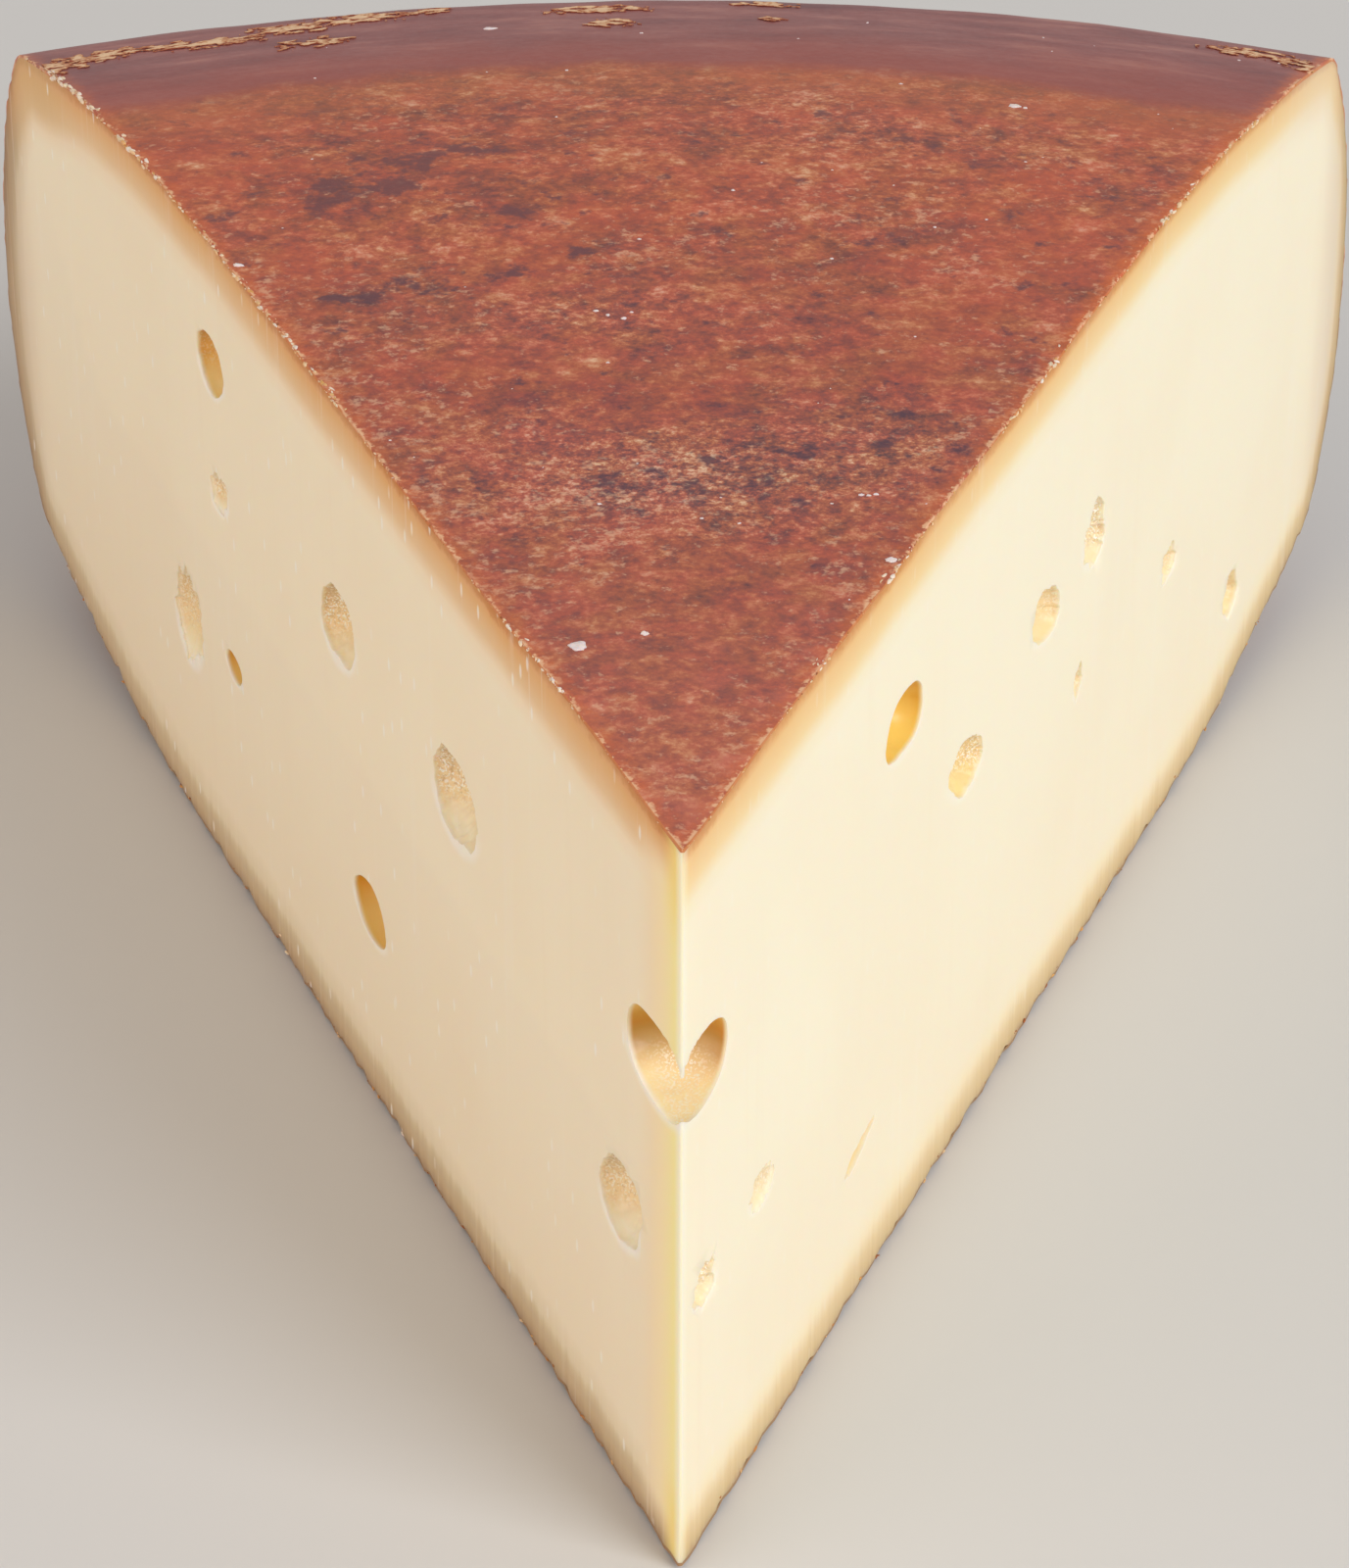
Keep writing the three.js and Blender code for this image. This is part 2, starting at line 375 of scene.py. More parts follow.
@dataclass(frozen=True)
class RindWaves:
    """Low waves of the rind: each is shorter than the last and turned from it."""

    count: int = 5
    longest: float = 108.0
    highest: float = 0.25
    ratio: float = 0.59
    turn: float = math.radians(137.5)
    start: float = math.pi
    shift: float = 0.8
    flat_margin: float = 8.0
    core_radius: float = 170.0
    middle: float = 40.0

    def outward(self, points: np.ndarray) -> np.ndarray:
        """Gives the direction out of the wheel.

        Args:
            points: Places in the wheel's frame, one a row.

        Returns:
            A direction of length 1 for each point.
        """
        radii = np.hypot(points[:, 0], points[:, 1])
        reach = np.maximum(0.0, radii - self.core_radius) / np.maximum(radii, 1.0)
        way = np.stack([points[:, 0] * reach, points[:, 1] * reach, points[:, 2] - self.middle], axis=1)
        return way / np.linalg.norm(way, axis=1)[:, None]

    def pushed(self, points: np.ndarray) -> np.ndarray:
        """Moves points of the rind in or out by the waves.

        Args:
            points: Places in the wheel's frame, one a row.

        Returns:
            The moved places. The flat underside stays flat.
        """
        height = np.zeros(len(points))
        for wave in range(self.count):
            shrink = self.ratio**wave
            heading = wave * self.turn
            travel = points @ np.array((math.cos(heading), math.sin(heading), 1.0))
            phase = math.tau * travel / (self.longest * shrink) + self.start + wave * self.shift
            height += self.highest * shrink * np.sin(phase)
        fade = np.clip(points[:, 2] / self.flat_margin, 0.0, 1.0)
        return points + self.outward(points) * (fade * height)[:, None]


@dataclass(frozen=True)
class RindPits:
    """Fine pits of the rind, which only go inwards. The glossy shoulder is smoother."""

    depth: float = 0.2
    size: float = 4.2
    fine_size: float = 1.6
    mean: float = 0.5
    coarse_share: float = 0.45
    fine_share: float = 0.3
    smooth_from: float = 168.0
    smooth_share: float = 0.25

    def pushed(self, points: np.ndarray, waves: RindWaves) -> np.ndarray:
        """Presses the pits into points of the rind.

        Args:
            points: Places of the rind's outer skin, one a row.
            waves: The waves, which give the direction outwards.

        Returns:
            The moved places.
        """
        coarse = roughness_at(points, self.size)
        fine = roughness_at(points, self.fine_size, 2, 3.0)
        share = np.clip(self.mean + self.coarse_share * coarse + self.fine_share * fine, 0.0, 1.0)
        radii = np.hypot(points[:, 0], points[:, 1])
        is_shoulder = (radii > self.smooth_from) & (points[:, 2] > waves.middle)
        share = np.where(is_shoulder, share * self.smooth_share, share)
        share = np.where(points[:, 2] < ON_PLANE, 0.0, share)
        return points - waves.outward(points) * (self.depth * share)[:, None]


@dataclass(frozen=True)
class CutWear:
    """What the knife leaves: faces that ripple slightly, a nibbled rind edge and torn lower edges."""

    ripple: float = 0.12
    ripple_size: Vector = field(default_factory=lambda: Vector((16.0, 16.0, 70.0)))
    ripple_mean: float = 0.5
    nibble: float = 0.3
    nibble_size: float = 1.5
    nibble_mean: float = 0.2
    tear: float = 1.1
    tear_slope: float = math.radians(14.0)
    tear_waves: tuple[float, ...] = (5.3, 3.4, 11.7)
    tear_reach: float = 6.0
    safe_share: float = 0.4

    def torn_height(self, along: np.ndarray, side: Side) -> np.ndarray:
        """Gives how much of the lower edge is torn away.

        Args:
            along: Distances from the tip along the cut.
            side: The cut.

        Returns:
            A height for each distance.
        """
        travel = math.tau * along
        lengths = enumerate(self.tear_waves, start=1)
        waves = [np.sin(travel / length + side.value * turn) for turn, length in lengths]
        return self.tear * (0.5 + 0.5 * np.mean(waves, axis=0)) ** 2

    def torn(self, points: np.ndarray, section: WheelSection) -> np.ndarray:
        """Lifts the lower edges of the cuts where they are torn.

        Args:
            points: Places in the wheel's frame, one a row.
            section: The wheel's section, which gives where its lower side is.

        Returns:
            The moved places.
        """
        along = distance_along(points)
        above = points[:, 2] - section.underside_at(along)
        fade = np.clip(1.0 - above / self.tear_reach, 0.0, 1.0)
        moved = points.copy()
        for side in Side:
            inside = np.maximum(depth_inside(points, side), 0.0)
            lift = self.torn_height(along, side) - inside * math.tan(self.tear_slope)
            moved[:, 2] += np.maximum(lift, 0.0) * fade
        return moved

    def rippled(self, points: np.ndarray, is_skin: np.ndarray) -> np.ndarray:
        """Moves the points of the cut faces slightly into the cheese.

        Args:
            points: Places in the wheel's frame, one a row.
            is_skin: Whether each point belongs to the rind's outer skin, whose edge is nibbled.

        Returns:
            The moved places.
        """
        moved = points.copy()
        room = self.safe_share * distance_along(points) * 2 * HALF_ANGLE / COLUMNS
        for side in Side:
            on_cut = np.flatnonzero(np.abs(depth_inside(points, side)) < ON_PLANE)
            places = points[on_cut]
            ripples = roughness_at(places / np.array(self.ripple_size), 1.0) + self.ripple_mean
            bites = roughness_at(places, self.nibble_size, 2, 7.0) + self.nibble_mean
            shift = self.ripple * np.clip(ripples, 0.0, 1.0)
            shift += np.where(is_skin[on_cut], self.nibble * np.clip(bites, 0.0, 1.0), 0.0)
            shift = np.minimum(shift, room[on_cut])
            moved[on_cut] -= np.array(side.outward) * shift[:, None]
        return moved

    def nosed(self, points: np.ndarray, tip_radius: float) -> np.ndarray:
        """Rounds the narrow strip where the two cuts meet.

        Args:
            points: Places in the wheel's frame, one a row.
            tip_radius: Distance of the strip from the tip's line.

        Returns:
            The moved places.
        """
        in_strip = distance_along(points) < tip_radius + ON_PLANE
        turn = np.arctan2(points[:, 0], points[:, 1] - TIP.y) / HALF_ANGLE
        widest = math.pi / 2 - HALF_ANGLE
        nose = tip_radius * math.sin(HALF_ANGLE) / math.sin(widest)
        back = TIP.y + tip_radius * math.cos(HALF_ANGLE) + nose * math.cos(widest)
        moved = points.copy()
        moved[in_strip, 0] = nose * np.sin(turn[in_strip] * widest)
        moved[in_strip, 1] = back - nose * np.cos(turn[in_strip] * widest)
        return moved


# ---- Eyes ----


@dataclass(frozen=True)
class Eye:
    """A hole on a cut face: where it opens, how large it is and what its wall looks like."""

    side: Side
    along: float
    up: float
    wide: float
    tall: float
    deep: float
    turn: float
    gold: float
    grain: float = 0.0
    ragged: float = 0.0

    CELL = 0.42
    FINE_CELL = 0.3
    RIM = 0.35
    RIM_SHARE = 0.25
    RIM_TURN = math.radians(60.0)
    RIM_STEPS = 4
    LIP = 0.4
    FEWEST_RINGS = 5
    FEWEST_STEPS = 16
    LUMPS = (0.05, 0.035, 0.025)
    WOBBLE = 0.03
    WOBBLE_PITCH = 1.7
    BUMP = 0.12
    BUMP_SIZE = 2.4
    BUMP_FROM = 0.1
    BUMP_FADE = 0.5
    HEART = 0.4
    GRAIN_SIZE = 0.85
    GRAIN_HEIGHT = 0.22

    @property
    def cell(self) -> float:
        """The width of the wall's facets, finer where the wall is pebbled."""
        return self.FINE_CELL if self.grain > 0 else self.CELL

    @property
    def centre(self) -> Vector:
        """The middle of the eye's mouth."""
        return TIP + self.side.along * self.along + UP * self.up

    @property
    def frame(self) -> Matrix:
        """Placement of the eye on its cut, turned as the eye is."""
        return self.side.placement(self.along, self.up) @ Matrix.Rotation(math.radians(self.turn), 4, "Z")

    def reach_and_rise(self, points: np.ndarray) -> tuple[np.ndarray, np.ndarray]:
        """Measures points against the eye's mouth.

        Args:
            points: Places in the wheel's frame, one a row.

        Returns:
            Distances from the middle, 1 at the mouth's rim, and heights, 1 at its top.
        """
        near = (points - np.array(self.centre)) @ np.array(self.frame.to_3x3())
        across, rise = near[:, 0] * 2 / self.wide, near[:, 1] * 2 / self.tall
        return np.hypot(np.hypot(across, rise), near[:, 2]), rise

    def profile(self, mouth: float) -> list[tuple[float, float]]:
        """Draws half of the plug's section for a mouth of radius 1.

        Args:
            mouth: The mouth's mean radius, in millimetres.

        Returns:
            Radius and height of each point, from the deepest up to the lid.
        """
        depth = self.deep / mouth
        bubble = (1 + depth * depth) / (2 * depth)
        middle = bubble - depth
        rim = min(self.RIM, self.RIM_SHARE * self.deep) / mouth
        rim_bottom = -rim * math.sin(self.RIM_TURN)
        sweep = math.acos((middle - rim_bottom) / bubble)
        rings = max(self.FEWEST_RINGS, round(bubble * sweep * mouth / self.cell))
        turns = [sweep * ring / rings for ring in range(rings + 1)]
        points = [(bubble * math.sin(turn), middle - bubble * math.cos(turn)) for turn in turns]
        wall = points[-1][0]
        for step in range(1, self.RIM_STEPS + 1):
            turn = self.RIM_TURN * step / self.RIM_STEPS
            points.append((wall + rim * (1 - math.cos(turn)), rim_bottom + rim * math.sin(turn)))
        points.append((points[-1][0] + self.LIP * math.tan(self.RIM_TURN), self.LIP))
        return [*points, (0.0, self.LIP)]

    def plug(self, seed: int) -> bmesh.types.BMesh:
        """Builds the solid that cuts this eye.

        Args:
            seed: Chooses the eye's own lumps.

        Returns:
            A closed plug, in the wheel's frame.
        """
        mouth = (self.wide + self.tall) / 4
        steps = max(self.FEWEST_STEPS, round(math.tau * mouth / self.cell))
        plug = bmesh.new()
        points = [plug.verts.new((radius, 0.0, height)) for radius, height in self.profile(mouth)]
        edges = [plug.edges.new(pair) for pair in zip(points, points[1:])]
        profile = [*points, *edges]
        turn = {"cent": (0, 0, 0), "axis": UP, "angle": math.tau}
        bmesh.ops.spin(plug, geom=profile, steps=steps, use_merge=True, **turn)
        bmesh.ops.remove_doubles(plug, verts=plug.verts, dist=MERGE)
        bmesh.ops.recalc_face_normals(plug, faces=plug.faces)
        for vert in plug.verts:
            angle = math.atan2(vert.co.y, vert.co.x)
            around = Vector((math.cos(angle), math.sin(angle), seed)) * self.WOBBLE_PITCH
            share = 1 + lumps(self.LUMPS, angle, seed)
            share += (self.ragged + self.WOBBLE) * noise.fractal(around, 0.8, 2.0, 4)
            x, y, z = vert.co
            vert.co = (x * share * self.wide / 2, y * share * self.tall / 2, z * mouth)
        self.roughen(plug, Vector((seed * 11.0, seed * 3.0, 0.0)))
        bmesh.ops.transform(plug, matrix=self.frame, verts=plug.verts)
        return plug

    def roughen(self, plug: bmesh.types.BMesh, shift: Vector) -> None:
        """Makes the wall uneven, and pebbled where the eye has grains.

        Args:
            plug: The plug in millimetres, its mouth at z = 0.
            shift: Moves the pattern, so that no two eyes are alike.
        """
        heart = Vector((0.0, 0.0, self.deep * self.HEART))
        for vert in plug.verts:
            fade = min(1.0, max(0.0, (-vert.co.z - self.BUMP_FROM) / self.BUMP_FADE))
            if fade > 0:
                place = vert.co + shift
                bump = self.BUMP * noise.fractal(place / self.BUMP_SIZE, 1.0, 2.0, 3)
                bump += pebbles(place / self.GRAIN_SIZE) * self.GRAIN_HEIGHT * self.grain
                vert.co += (vert.co - heart).normalized() * bump * fade


def lumps(sizes: Sequence[float], angle: float, turn: float) -> float:
    """Gives how far a hole's outline departs from round.

    Args:
        sizes: How high two, three and more lumps are.
        angle: Where on the outline.
        turn: Turns the lumps against one another.

    Returns:
        A share of the hole's radius.
    """
    waves = enumerate(sizes, start=1)
    return sum(size * math.sin((index + 1) * angle + turn * index) for index, size in waves)


def pebbles(place: Vector) -> float:
    """Gives how far a wall of grains 1 across recedes: nothing on a grain's top, about 1 between two."""
    distances, _ = noise.voronoi(place)
    return min(1.0, distances[0] ** 2 * PEBBLE_FALL)


@dataclass(frozen=True)
class TipEye:
    """The bubble that opens on both cut faces and interrupts the edge between them."""

    centre: Vector = field(default_factory=lambda: Vector((-1.5, 6.2, 53.8)))
    radii: Vector = field(default_factory=lambda: Vector((7.1, 7.2, 4.3)))
    flatness: float = 3.0
    bump: float = 0.1
    bump_size: float = 2.6
    ragged: float = 0.3
    ragged_size: float = 0.7
    ragged_from: float = -1.0
    ragged_fade: float = 1.5
    grain_reach: Vector = field(default_factory=lambda: Vector((2.4, 0.0, 1.1)))
    grain_height: float = 50.3

    def reach_and_rise(self, points: np.ndarray) -> tuple[np.ndarray, np.ndarray]:
        """Measures points against the bubble, as an eye does against its mouth."""
        near = (points - np.array(self.centre)) / np.array(self.radii)
        return np.linalg.norm(near, axis=1), near[:, 2]

    def grain_at(self, points: np.ndarray) -> np.ndarray:
        """Tells how grainy the bubble is: only behind the notch of the front edge.

        Args:
            points: Places in the wheel's frame, one a row.

        Returns:
            A value from 0 to 1 for each point.
        """
        across = points[:, 0] / self.grain_reach.x
        up = (points[:, 2] - self.grain_height) / self.grain_reach.z
        return np.exp(-across * across - up * up)

    def plug(self) -> bmesh.types.BMesh:
        """Builds the solid that cuts the bubble.

        Returns:
            A closed plug, in the wheel's frame.
        """
        plug = bmesh.new()
        bmesh.ops.create_icosphere(plug, subdivisions=6, radius=1.0)
        for vert in plug.verts:
            level = min(1.0, math.hypot(vert.co.x, vert.co.y))
            share = 1 + level * lumps(Eye.LUMPS, math.atan2(vert.co.y, vert.co.x), 1.0)
            rise = math.copysign(math.sqrt(1 - level**self.flatness), vert.co.z)
            place = Vector((vert.co.x * share, vert.co.y * share, rise)) * self.radii
            bump = self.bump * noise.fractal(place / self.bump_size, 1.0, 2.0, 3)
            if place.y < self.ragged_from and place.z > 0:
                fade = min(1.0, (self.ragged_from - place.y) / self.ragged_fade)
                bump += self.ragged * fade * noise.fractal(place / self.ragged_size, 0.7, 2.0, 4)
            vert.co = self.centre + place + place.normalized() * bump
        return plug


EYES = (
    Eye(Side.LEFT, 14.4, 33.1, 10.9, 8.8, 3.2, 10, gold=0.1, grain=0.7, ragged=0.06),
    Eye(Side.LEFT, 56.8, 52.0, 12.0, 9.9, 3.4, 0, gold=0.1, grain=1.0, ragged=0.1),
    Eye(Side.LEFT, 90.4, 53.4, 10.4, 8.8, 3.4, 12, gold=0.2, grain=0.9, ragged=0.08),
    Eye(Side.LEFT, 129.6, 64.2, 8.3, 6.8, 4.2, 0, gold=0.75, grain=0.3, ragged=0.04),
    Eye(Side.LEFT, 128.5, 49.3, 6.4, 4.8, 1.0, 15, gold=0.2, grain=0.7, ragged=0.3),
    Eye(Side.LEFT, 83.2, 23.2, 9.6, 6.1, 4.8, -12, gold=1.0),
    Eye(Side.LEFT, 126.1, 28.8, 5.1, 3.2, 3.0, -10, gold=1.0),
    Eye(Side.LEFT, 142.1, 27.2, 9.6, 12.0, 1.4, 0, gold=0.25, grain=0.6, ragged=0.4),
    Eye(Side.RIGHT, 56.3, 61.1, 9.9, 7.2, 4.6, 0, gold=1.0),
    Eye(Side.RIGHT, 74.9, 45.6, 10.4, 6.4, 2.4, -12, gold=0.6, grain=0.8, ragged=0.12),
    Eye(Side.RIGHT, 99.0, 50.1, 9.6, 6.1, 2.6, -14, gold=0.4, grain=0.4, ragged=0.1),
    Eye(Side.RIGHT, 114.1, 51.5, 8.0, 6.7, 1.8, -20, gold=0.25, grain=1.0, ragged=0.25),
    Eye(Side.RIGHT, 5.8, 29.6, 6.0, 4.8, 1.2, 0, gold=0.25, grain=1.0, ragged=0.3),
    Eye(Side.RIGHT, 19.8, 30.9, 6.7, 4.5, 1.0, -10, gold=0.2, grain=0.5, ragged=0.25),
    Eye(Side.RIGHT, 46.4, 17.6, 8.0, 2.0, 1.6, 16, gold=0.35, ragged=0.3),
    Eye(Side.RIGHT, 110.9, 35.5, 2.6, 4.4, 1.4, -20, gold=0.3, grain=0.5, ragged=0.3),
    Eye(Side.RIGHT, 142.2, 33.6, 5.8, 4.2, 1.2, -10, gold=0.3, grain=0.4, ragged=0.25),
    Eye(Side.RIGHT, 168.3, 15.8, 5.8, 5.8, 2.2, 0, gold=0.35, grain=0.3, ragged=0.15),
)


# ---- The cheese itself ----


@dataclass(frozen=True)
class WedgeForm:
    """What the paste and the rind have in common, so that they meet all along the cuts."""

    section: WheelSection
    waves: RindWaves
    pits: RindPits
    wear: CutWear
    rind_thickness: float = 0.4

    def spin_round(self, shape: bmesh.types.BMesh) -> None:
        """Turns a flat shape on the right cut round the tip's line to the left cut, and closes it.

        Args:
            shape: Faces drawn with X as the distance from the tip's line.
        """
        start = Matrix.Translation(TIP) @ Matrix.Rotation(math.pi / 2 - HALF_ANGLE, 4, "Z")
        bmesh.ops.transform(shape, matrix=start, verts=shape.verts)
        bmesh.ops.spin(
            shape,
            geom=[*shape.verts, *shape.edges, *shape.faces],
            cent=TIP,
            axis=UP,
            angle=2 * HALF_ANGLE,
            steps=COLUMNS,
        )
        bmesh.ops.recalc_face_normals(shape, faces=shape.faces)

    def settle(self, piece: bpy.types.Object, is_skin: np.ndarray, is_rind: np.ndarray) -> None:
        """Gives a spun piece its waves, pits and wear.

        Args:
            piece: The piece, in millimetres in the wheel's frame.
            is_skin: Whether each vertex lies on the rind's outer skin.
            is_rind: Whether each vertex lies in or right under the rind.
        """
        points = read_points(piece.data)
        places = np.where(is_rind[:, None], self.waves.pushed(points), points)
        places[is_skin] = self.pits.pushed(places[is_skin], self.waves)
        on_cut = lies_on_cut(points)
        shift = self.wear.rippled(points, is_skin) - points
        places[on_cut] += shift[on_cut]
        places = self.wear.nosed(places, self.section.tip_radius)
        write_points(piece.data, self.wear.torn(places, self.section))


@dataclass
class PasteBody:
    """The pale paste with its eyes. It stands for the whole solid."""

    form: WedgeForm
    eyes: Sequence[Eye]
    tip_eye: TipEye
    grid: float = 2.4
    snap: float = 0.45
    heel_start: float = 196.0
    heel_reach: float = 8.0
    heel_thinning: float = 0.6
    low_from: float = 68.0
    low_reach: float = 10.0
    corner: Corner = Corner(192.0, 71.0, 12.0)

    FAR = 9.0

    def cut_face(self, outline: np.ndarray) -> bmesh.types.BMesh:
        """Draws one cut face, divided into small cells.

        Args:
            outline: The face's outline under the rind.

        Returns:
            The flat face, with X as the distance from the tip's line.
        """
        face = bmesh.new()
        corners = [face.verts.new((radius, 0.0, height)) for radius, height in outline]
        face.faces.new(corners)
        for axis, reach in ((Vector((1, 0, 0)), self.form.section.radius), (UP, self.form.section.height)):
            for step in range(1, int(reach / self.grid)):
                bmesh.ops.bisect_plane(
                    face,
                    geom=[*face.verts, *face.edges, *face.faces],
                    dist=self.snap,
                    plane_co=axis * (step * self.grid),
                    plane_no=axis,
                )
        return face

    def cutter(self) -> bpy.types.Object:
        """Joins the plugs of all the eyes into one object."""
        plugs = [eye.plug(index) for index, eye in enumerate(self.eyes)]
        return make_object("eye_plugs", joined([*plugs, self.tip_eye.plug()]))

    def open_eyes(self, body: bpy.types.Object) -> None:
        """Cuts the eyes out of the body and keeps the result as its mesh.

        Args:
            body: The paste, still closed.
        """
        cutter = self.cutter()
        boolean = body.modifiers.new("eyes", "BOOLEAN")
        boolean.operation = "DIFFERENCE"
        boolean.solver = "MANIFOLD"
        boolean.object = cutter
        settled = body.evaluated_get(bpy.context.evaluated_depsgraph_get())
        opened = bpy.data.meshes.new_from_object(settled)
        spent = (body.data, cutter.data)
        body.modifiers.clear()
        body.data = opened
        bpy.data.objects.remove(cutter)
        for mesh in spent:
            bpy.data.meshes.remove(mesh)
        opened.name = body.name

    def paint_body(self, mesh: bpy.types.Mesh, outline: np.ndarray) -> None:
        """Stores how deep each vertex lies under the rind and in an eye, and the eyes' own looks.

        Args:
            mesh: The body with its eyes open.
            outline: The outline of the paste under the rind.
        """
        points = read_points(mesh)
        flat = on_section(points)
        depth, height = nearest_on_line(flat, outline)
        is_heel = np.clip((flat[:, 0] - self.heel_start) / self.heel_reach, 0.0, 1.0)
        away = flat - (self.corner.radius, self.corner.height)
        corner = np.hypot(*away.T) / self.corner.round
        holes = [*self.eyes, self.tip_eye]
        centres = np.array([tuple(hole.centre) for hole in holes])
        owner = np.argmin(np.linalg.norm(points[:, None] - centres[None], axis=2), axis=1)
        reach, rise = np.full(len(points), self.FAR), np.zeros(len(points))
        for index, hole in enumerate(holes):
            mine = np.flatnonzero(owner == index)
            reach[mine], rise[mine] = hole.reach_and_rise(points[mine])
        is_tip = owner == len(self.eyes)
        looks = np.array([(eye.gold, eye.grain) for eye in self.eyes] + [(0.0, 0.0)])[owner]
        painted = {
            "rind_depth": depth * (1 + np.where(points[:, 0] > 0, is_heel * self.heel_thinning, 0.0)),
            "at_corner": np.exp(-corner * corner),
            "is_low": np.clip((self.low_from - height) / self.low_reach, 0.0, 1.0),
            "eye_depth": np.maximum(depth_from_cuts(points), 0.0),
            "eye_reach": reach,
            "eye_rise": rise,
            "is_heel": is_heel,
            "is_tip": is_tip.astype(float),
            "gold": looks[:, 0],
            "grain": np.where(is_tip, self.tip_eye.grain_at(points), looks[:, 1]),
        }
        for name, values in painted.items():
            paint(mesh, name, values)

    def build(self, finish: bpy.types.Material) -> bpy.types.Object:
        """Builds and dresses the body.

        Args:
            finish: The paste's material.

        Returns:
            The finished piece.
        """
        form = self.form
        outline = form.section.inset(form.section.outline(), form.rind_thickness)
        face = self.cut_face(outline)
        form.spin_round(face)
        bmesh.ops.remove_doubles(face, verts=face.verts, dist=MERGE)
        body = make_object("wedge_paste", face)
        points = read_points(body.data)
        is_rind = ~lies_on_cut(points) | (nearest_on_line(on_section(points), outline)[0] < ON_PLANE)
        form.settle(body, np.zeros(len(points), bool), is_rind)
        self.open_eyes(body)
        self.paint_body(body.data, outline)
        finish_piece(body, finish, math.radians(42))
        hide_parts(NODE)
        return body


def nearest_on_line(flat: np.ndarray, line: np.ndarray) -> tuple[np.ndarray, np.ndarray]:
    """Finds the nearest places on a line of many short stretches.

    Args:
        flat: Points, one a row.
        line: The line's points, in order.

    Returns:
        How far each point lies from the line, and the height of the nearest place on it.
    """
    nearest = np.full(len(flat), np.inf)
    height = np.zeros(len(flat))
    for start, end in zip(line, line[1:]):
        way = end - start
        share = np.clip((flat - start) @ way / (way @ way), 0.0, 1.0)
        distance = np.hypot(*(flat - start - share[:, None] * way).T)
        closer = distance < nearest
        nearest[closer] = distance[closer]
        height[closer] = start[1] + share[closer] * way[1]
    return nearest, height


@dataclass(frozen=True)
class Stain:
    """A soft spot of the rind where flecks of one kind gather."""

    x: float
    y: float
    wide: float
    deep: float
    strength: float


@dataclass
class RindShell:
    """The thin washed rind over the top, the heel and the underside."""

    form: WedgeForm
    dark_stains: Sequence[Stain] = (
        Stain(-33.0, 132.0, 6.0, 3.4, 1.6), Stain(-29.5, 138.5, 4.5, 2.6, 1.3),
        Stain(-37.0, 125.5, 4.0, 2.6, 1.2), Stain(-20.2, 140.4, 3.6, 2.2, 1.2),
        Stain(-18.3, 124.9, 4.2, 2.4, 1.3), Stain(-9.9, 114.9, 4.2, 2.2, 1.3),
        Stain(-34.0, 104.5, 5.0, 1.6, 1.1), Stain(-26.0, 107.4, 6.0, 1.6, 1.0),
        Stain(-18.0, 109.6, 5.0, 1.6, 1.0), Stain(0.0, 70.0, 20.0, 11.0, 0.42),
        Stain(24.0, 72.0, 10.0, 8.0, 0.35), Stain(-1.5, 26.5, 2.2, 0.7, 0.8),
        Stain(4.2, 26.0, 1.2, 1.1, 1.0), Stain(8.2, 26.4, 0.7, 0.8, 0.9),
        Stain(34.0, 137.0, 3.0, 2.0, 0.6), Stain(20.0, 118.0, 5.0, 2.0, 0.4),
    )
    tan_stains: Sequence[Stain] = (
        Stain(-2.0, 66.0, 20.0, 12.0, 0.9), Stain(-14.0, 76.0, 9.0, 8.0, 0.25),
        Stain(22.0, 74.0, 12.0, 10.0, 0.4), Stain(0.0, 160.0, 50.0, 6.0, 0.3),
        Stain(18.0, 146.0, 14.0, 8.0, 0.4), Stain(-6.0, 100.0, 16.0, 8.0, 0.4),
    )

    def paint_stains(self, mesh: bpy.types.Mesh, name: str, stains: Sequence[Stain]) -> None:
        """Stores how strongly the stains of one kind show at each vertex.

        Args:
            mesh: The rind's mesh.
            name: The attribute's name.
            stains: The stains.
        """
        points = read_points(mesh)
        total = np.zeros(len(points))
        for stain in stains:
            across, along = (points[:, 0] - stain.x) / stain.wide, (points[:, 1] - stain.y) / stain.deep
            total += stain.strength * np.exp(-(across**2 + along**2))
        paint(mesh, name, np.where(points[:, 2] > self.form.waves.middle, total, 0.0))

    def build(self, finish: bpy.types.Material) -> bpy.types.Object:
        """Builds and dresses the shell.

        Args:
            finish: The rind's material.

        Returns:
            The finished piece.
        """
        form = self.form
        outer = form.section.outline()
        inner = form.section.inset(outer, form.rind_thickness)
        band = bmesh.new()
        skin = band.verts.layers.int.new("skin")
        line = [band.verts.new((radius, 0.0, height)) for radius, height in outer]
        edges = [band.edges.new(pair) for pair in zip(line, line[1:])]
        for vert in line:
            vert[skin] = 1
        made = bmesh.ops.extrude_edge_only(band, edges=edges)["geom"]
        inner_line = [item for item in made if isinstance(item, bmesh.types.BMVert)]
        followed = {tuple(vert.co): vert for vert in inner_line}
        for vert, place in zip([followed[tuple(vert.co)] for vert in line], inner):
            vert[skin] = 0
            vert.co = (place[0], 0.0, place[1])
        form.spin_round(band)
        rind = make_object("wedge_rind", band)
        flags = np.empty(len(rind.data.vertices), np.int32)
        rind.data.attributes["skin"].data.foreach_get("value", flags)
        form.settle(rind, flags == 1, np.ones(len(flags), bool))
        self.paint_stains(rind.data, "dark_stain", self.dark_stains)
        self.paint_stains(rind.data, "tan_stain", self.tan_stains)
        finish_piece(rind, finish, math.radians(50))
        return rind


# ---- Crumbs, flakes and chips ----


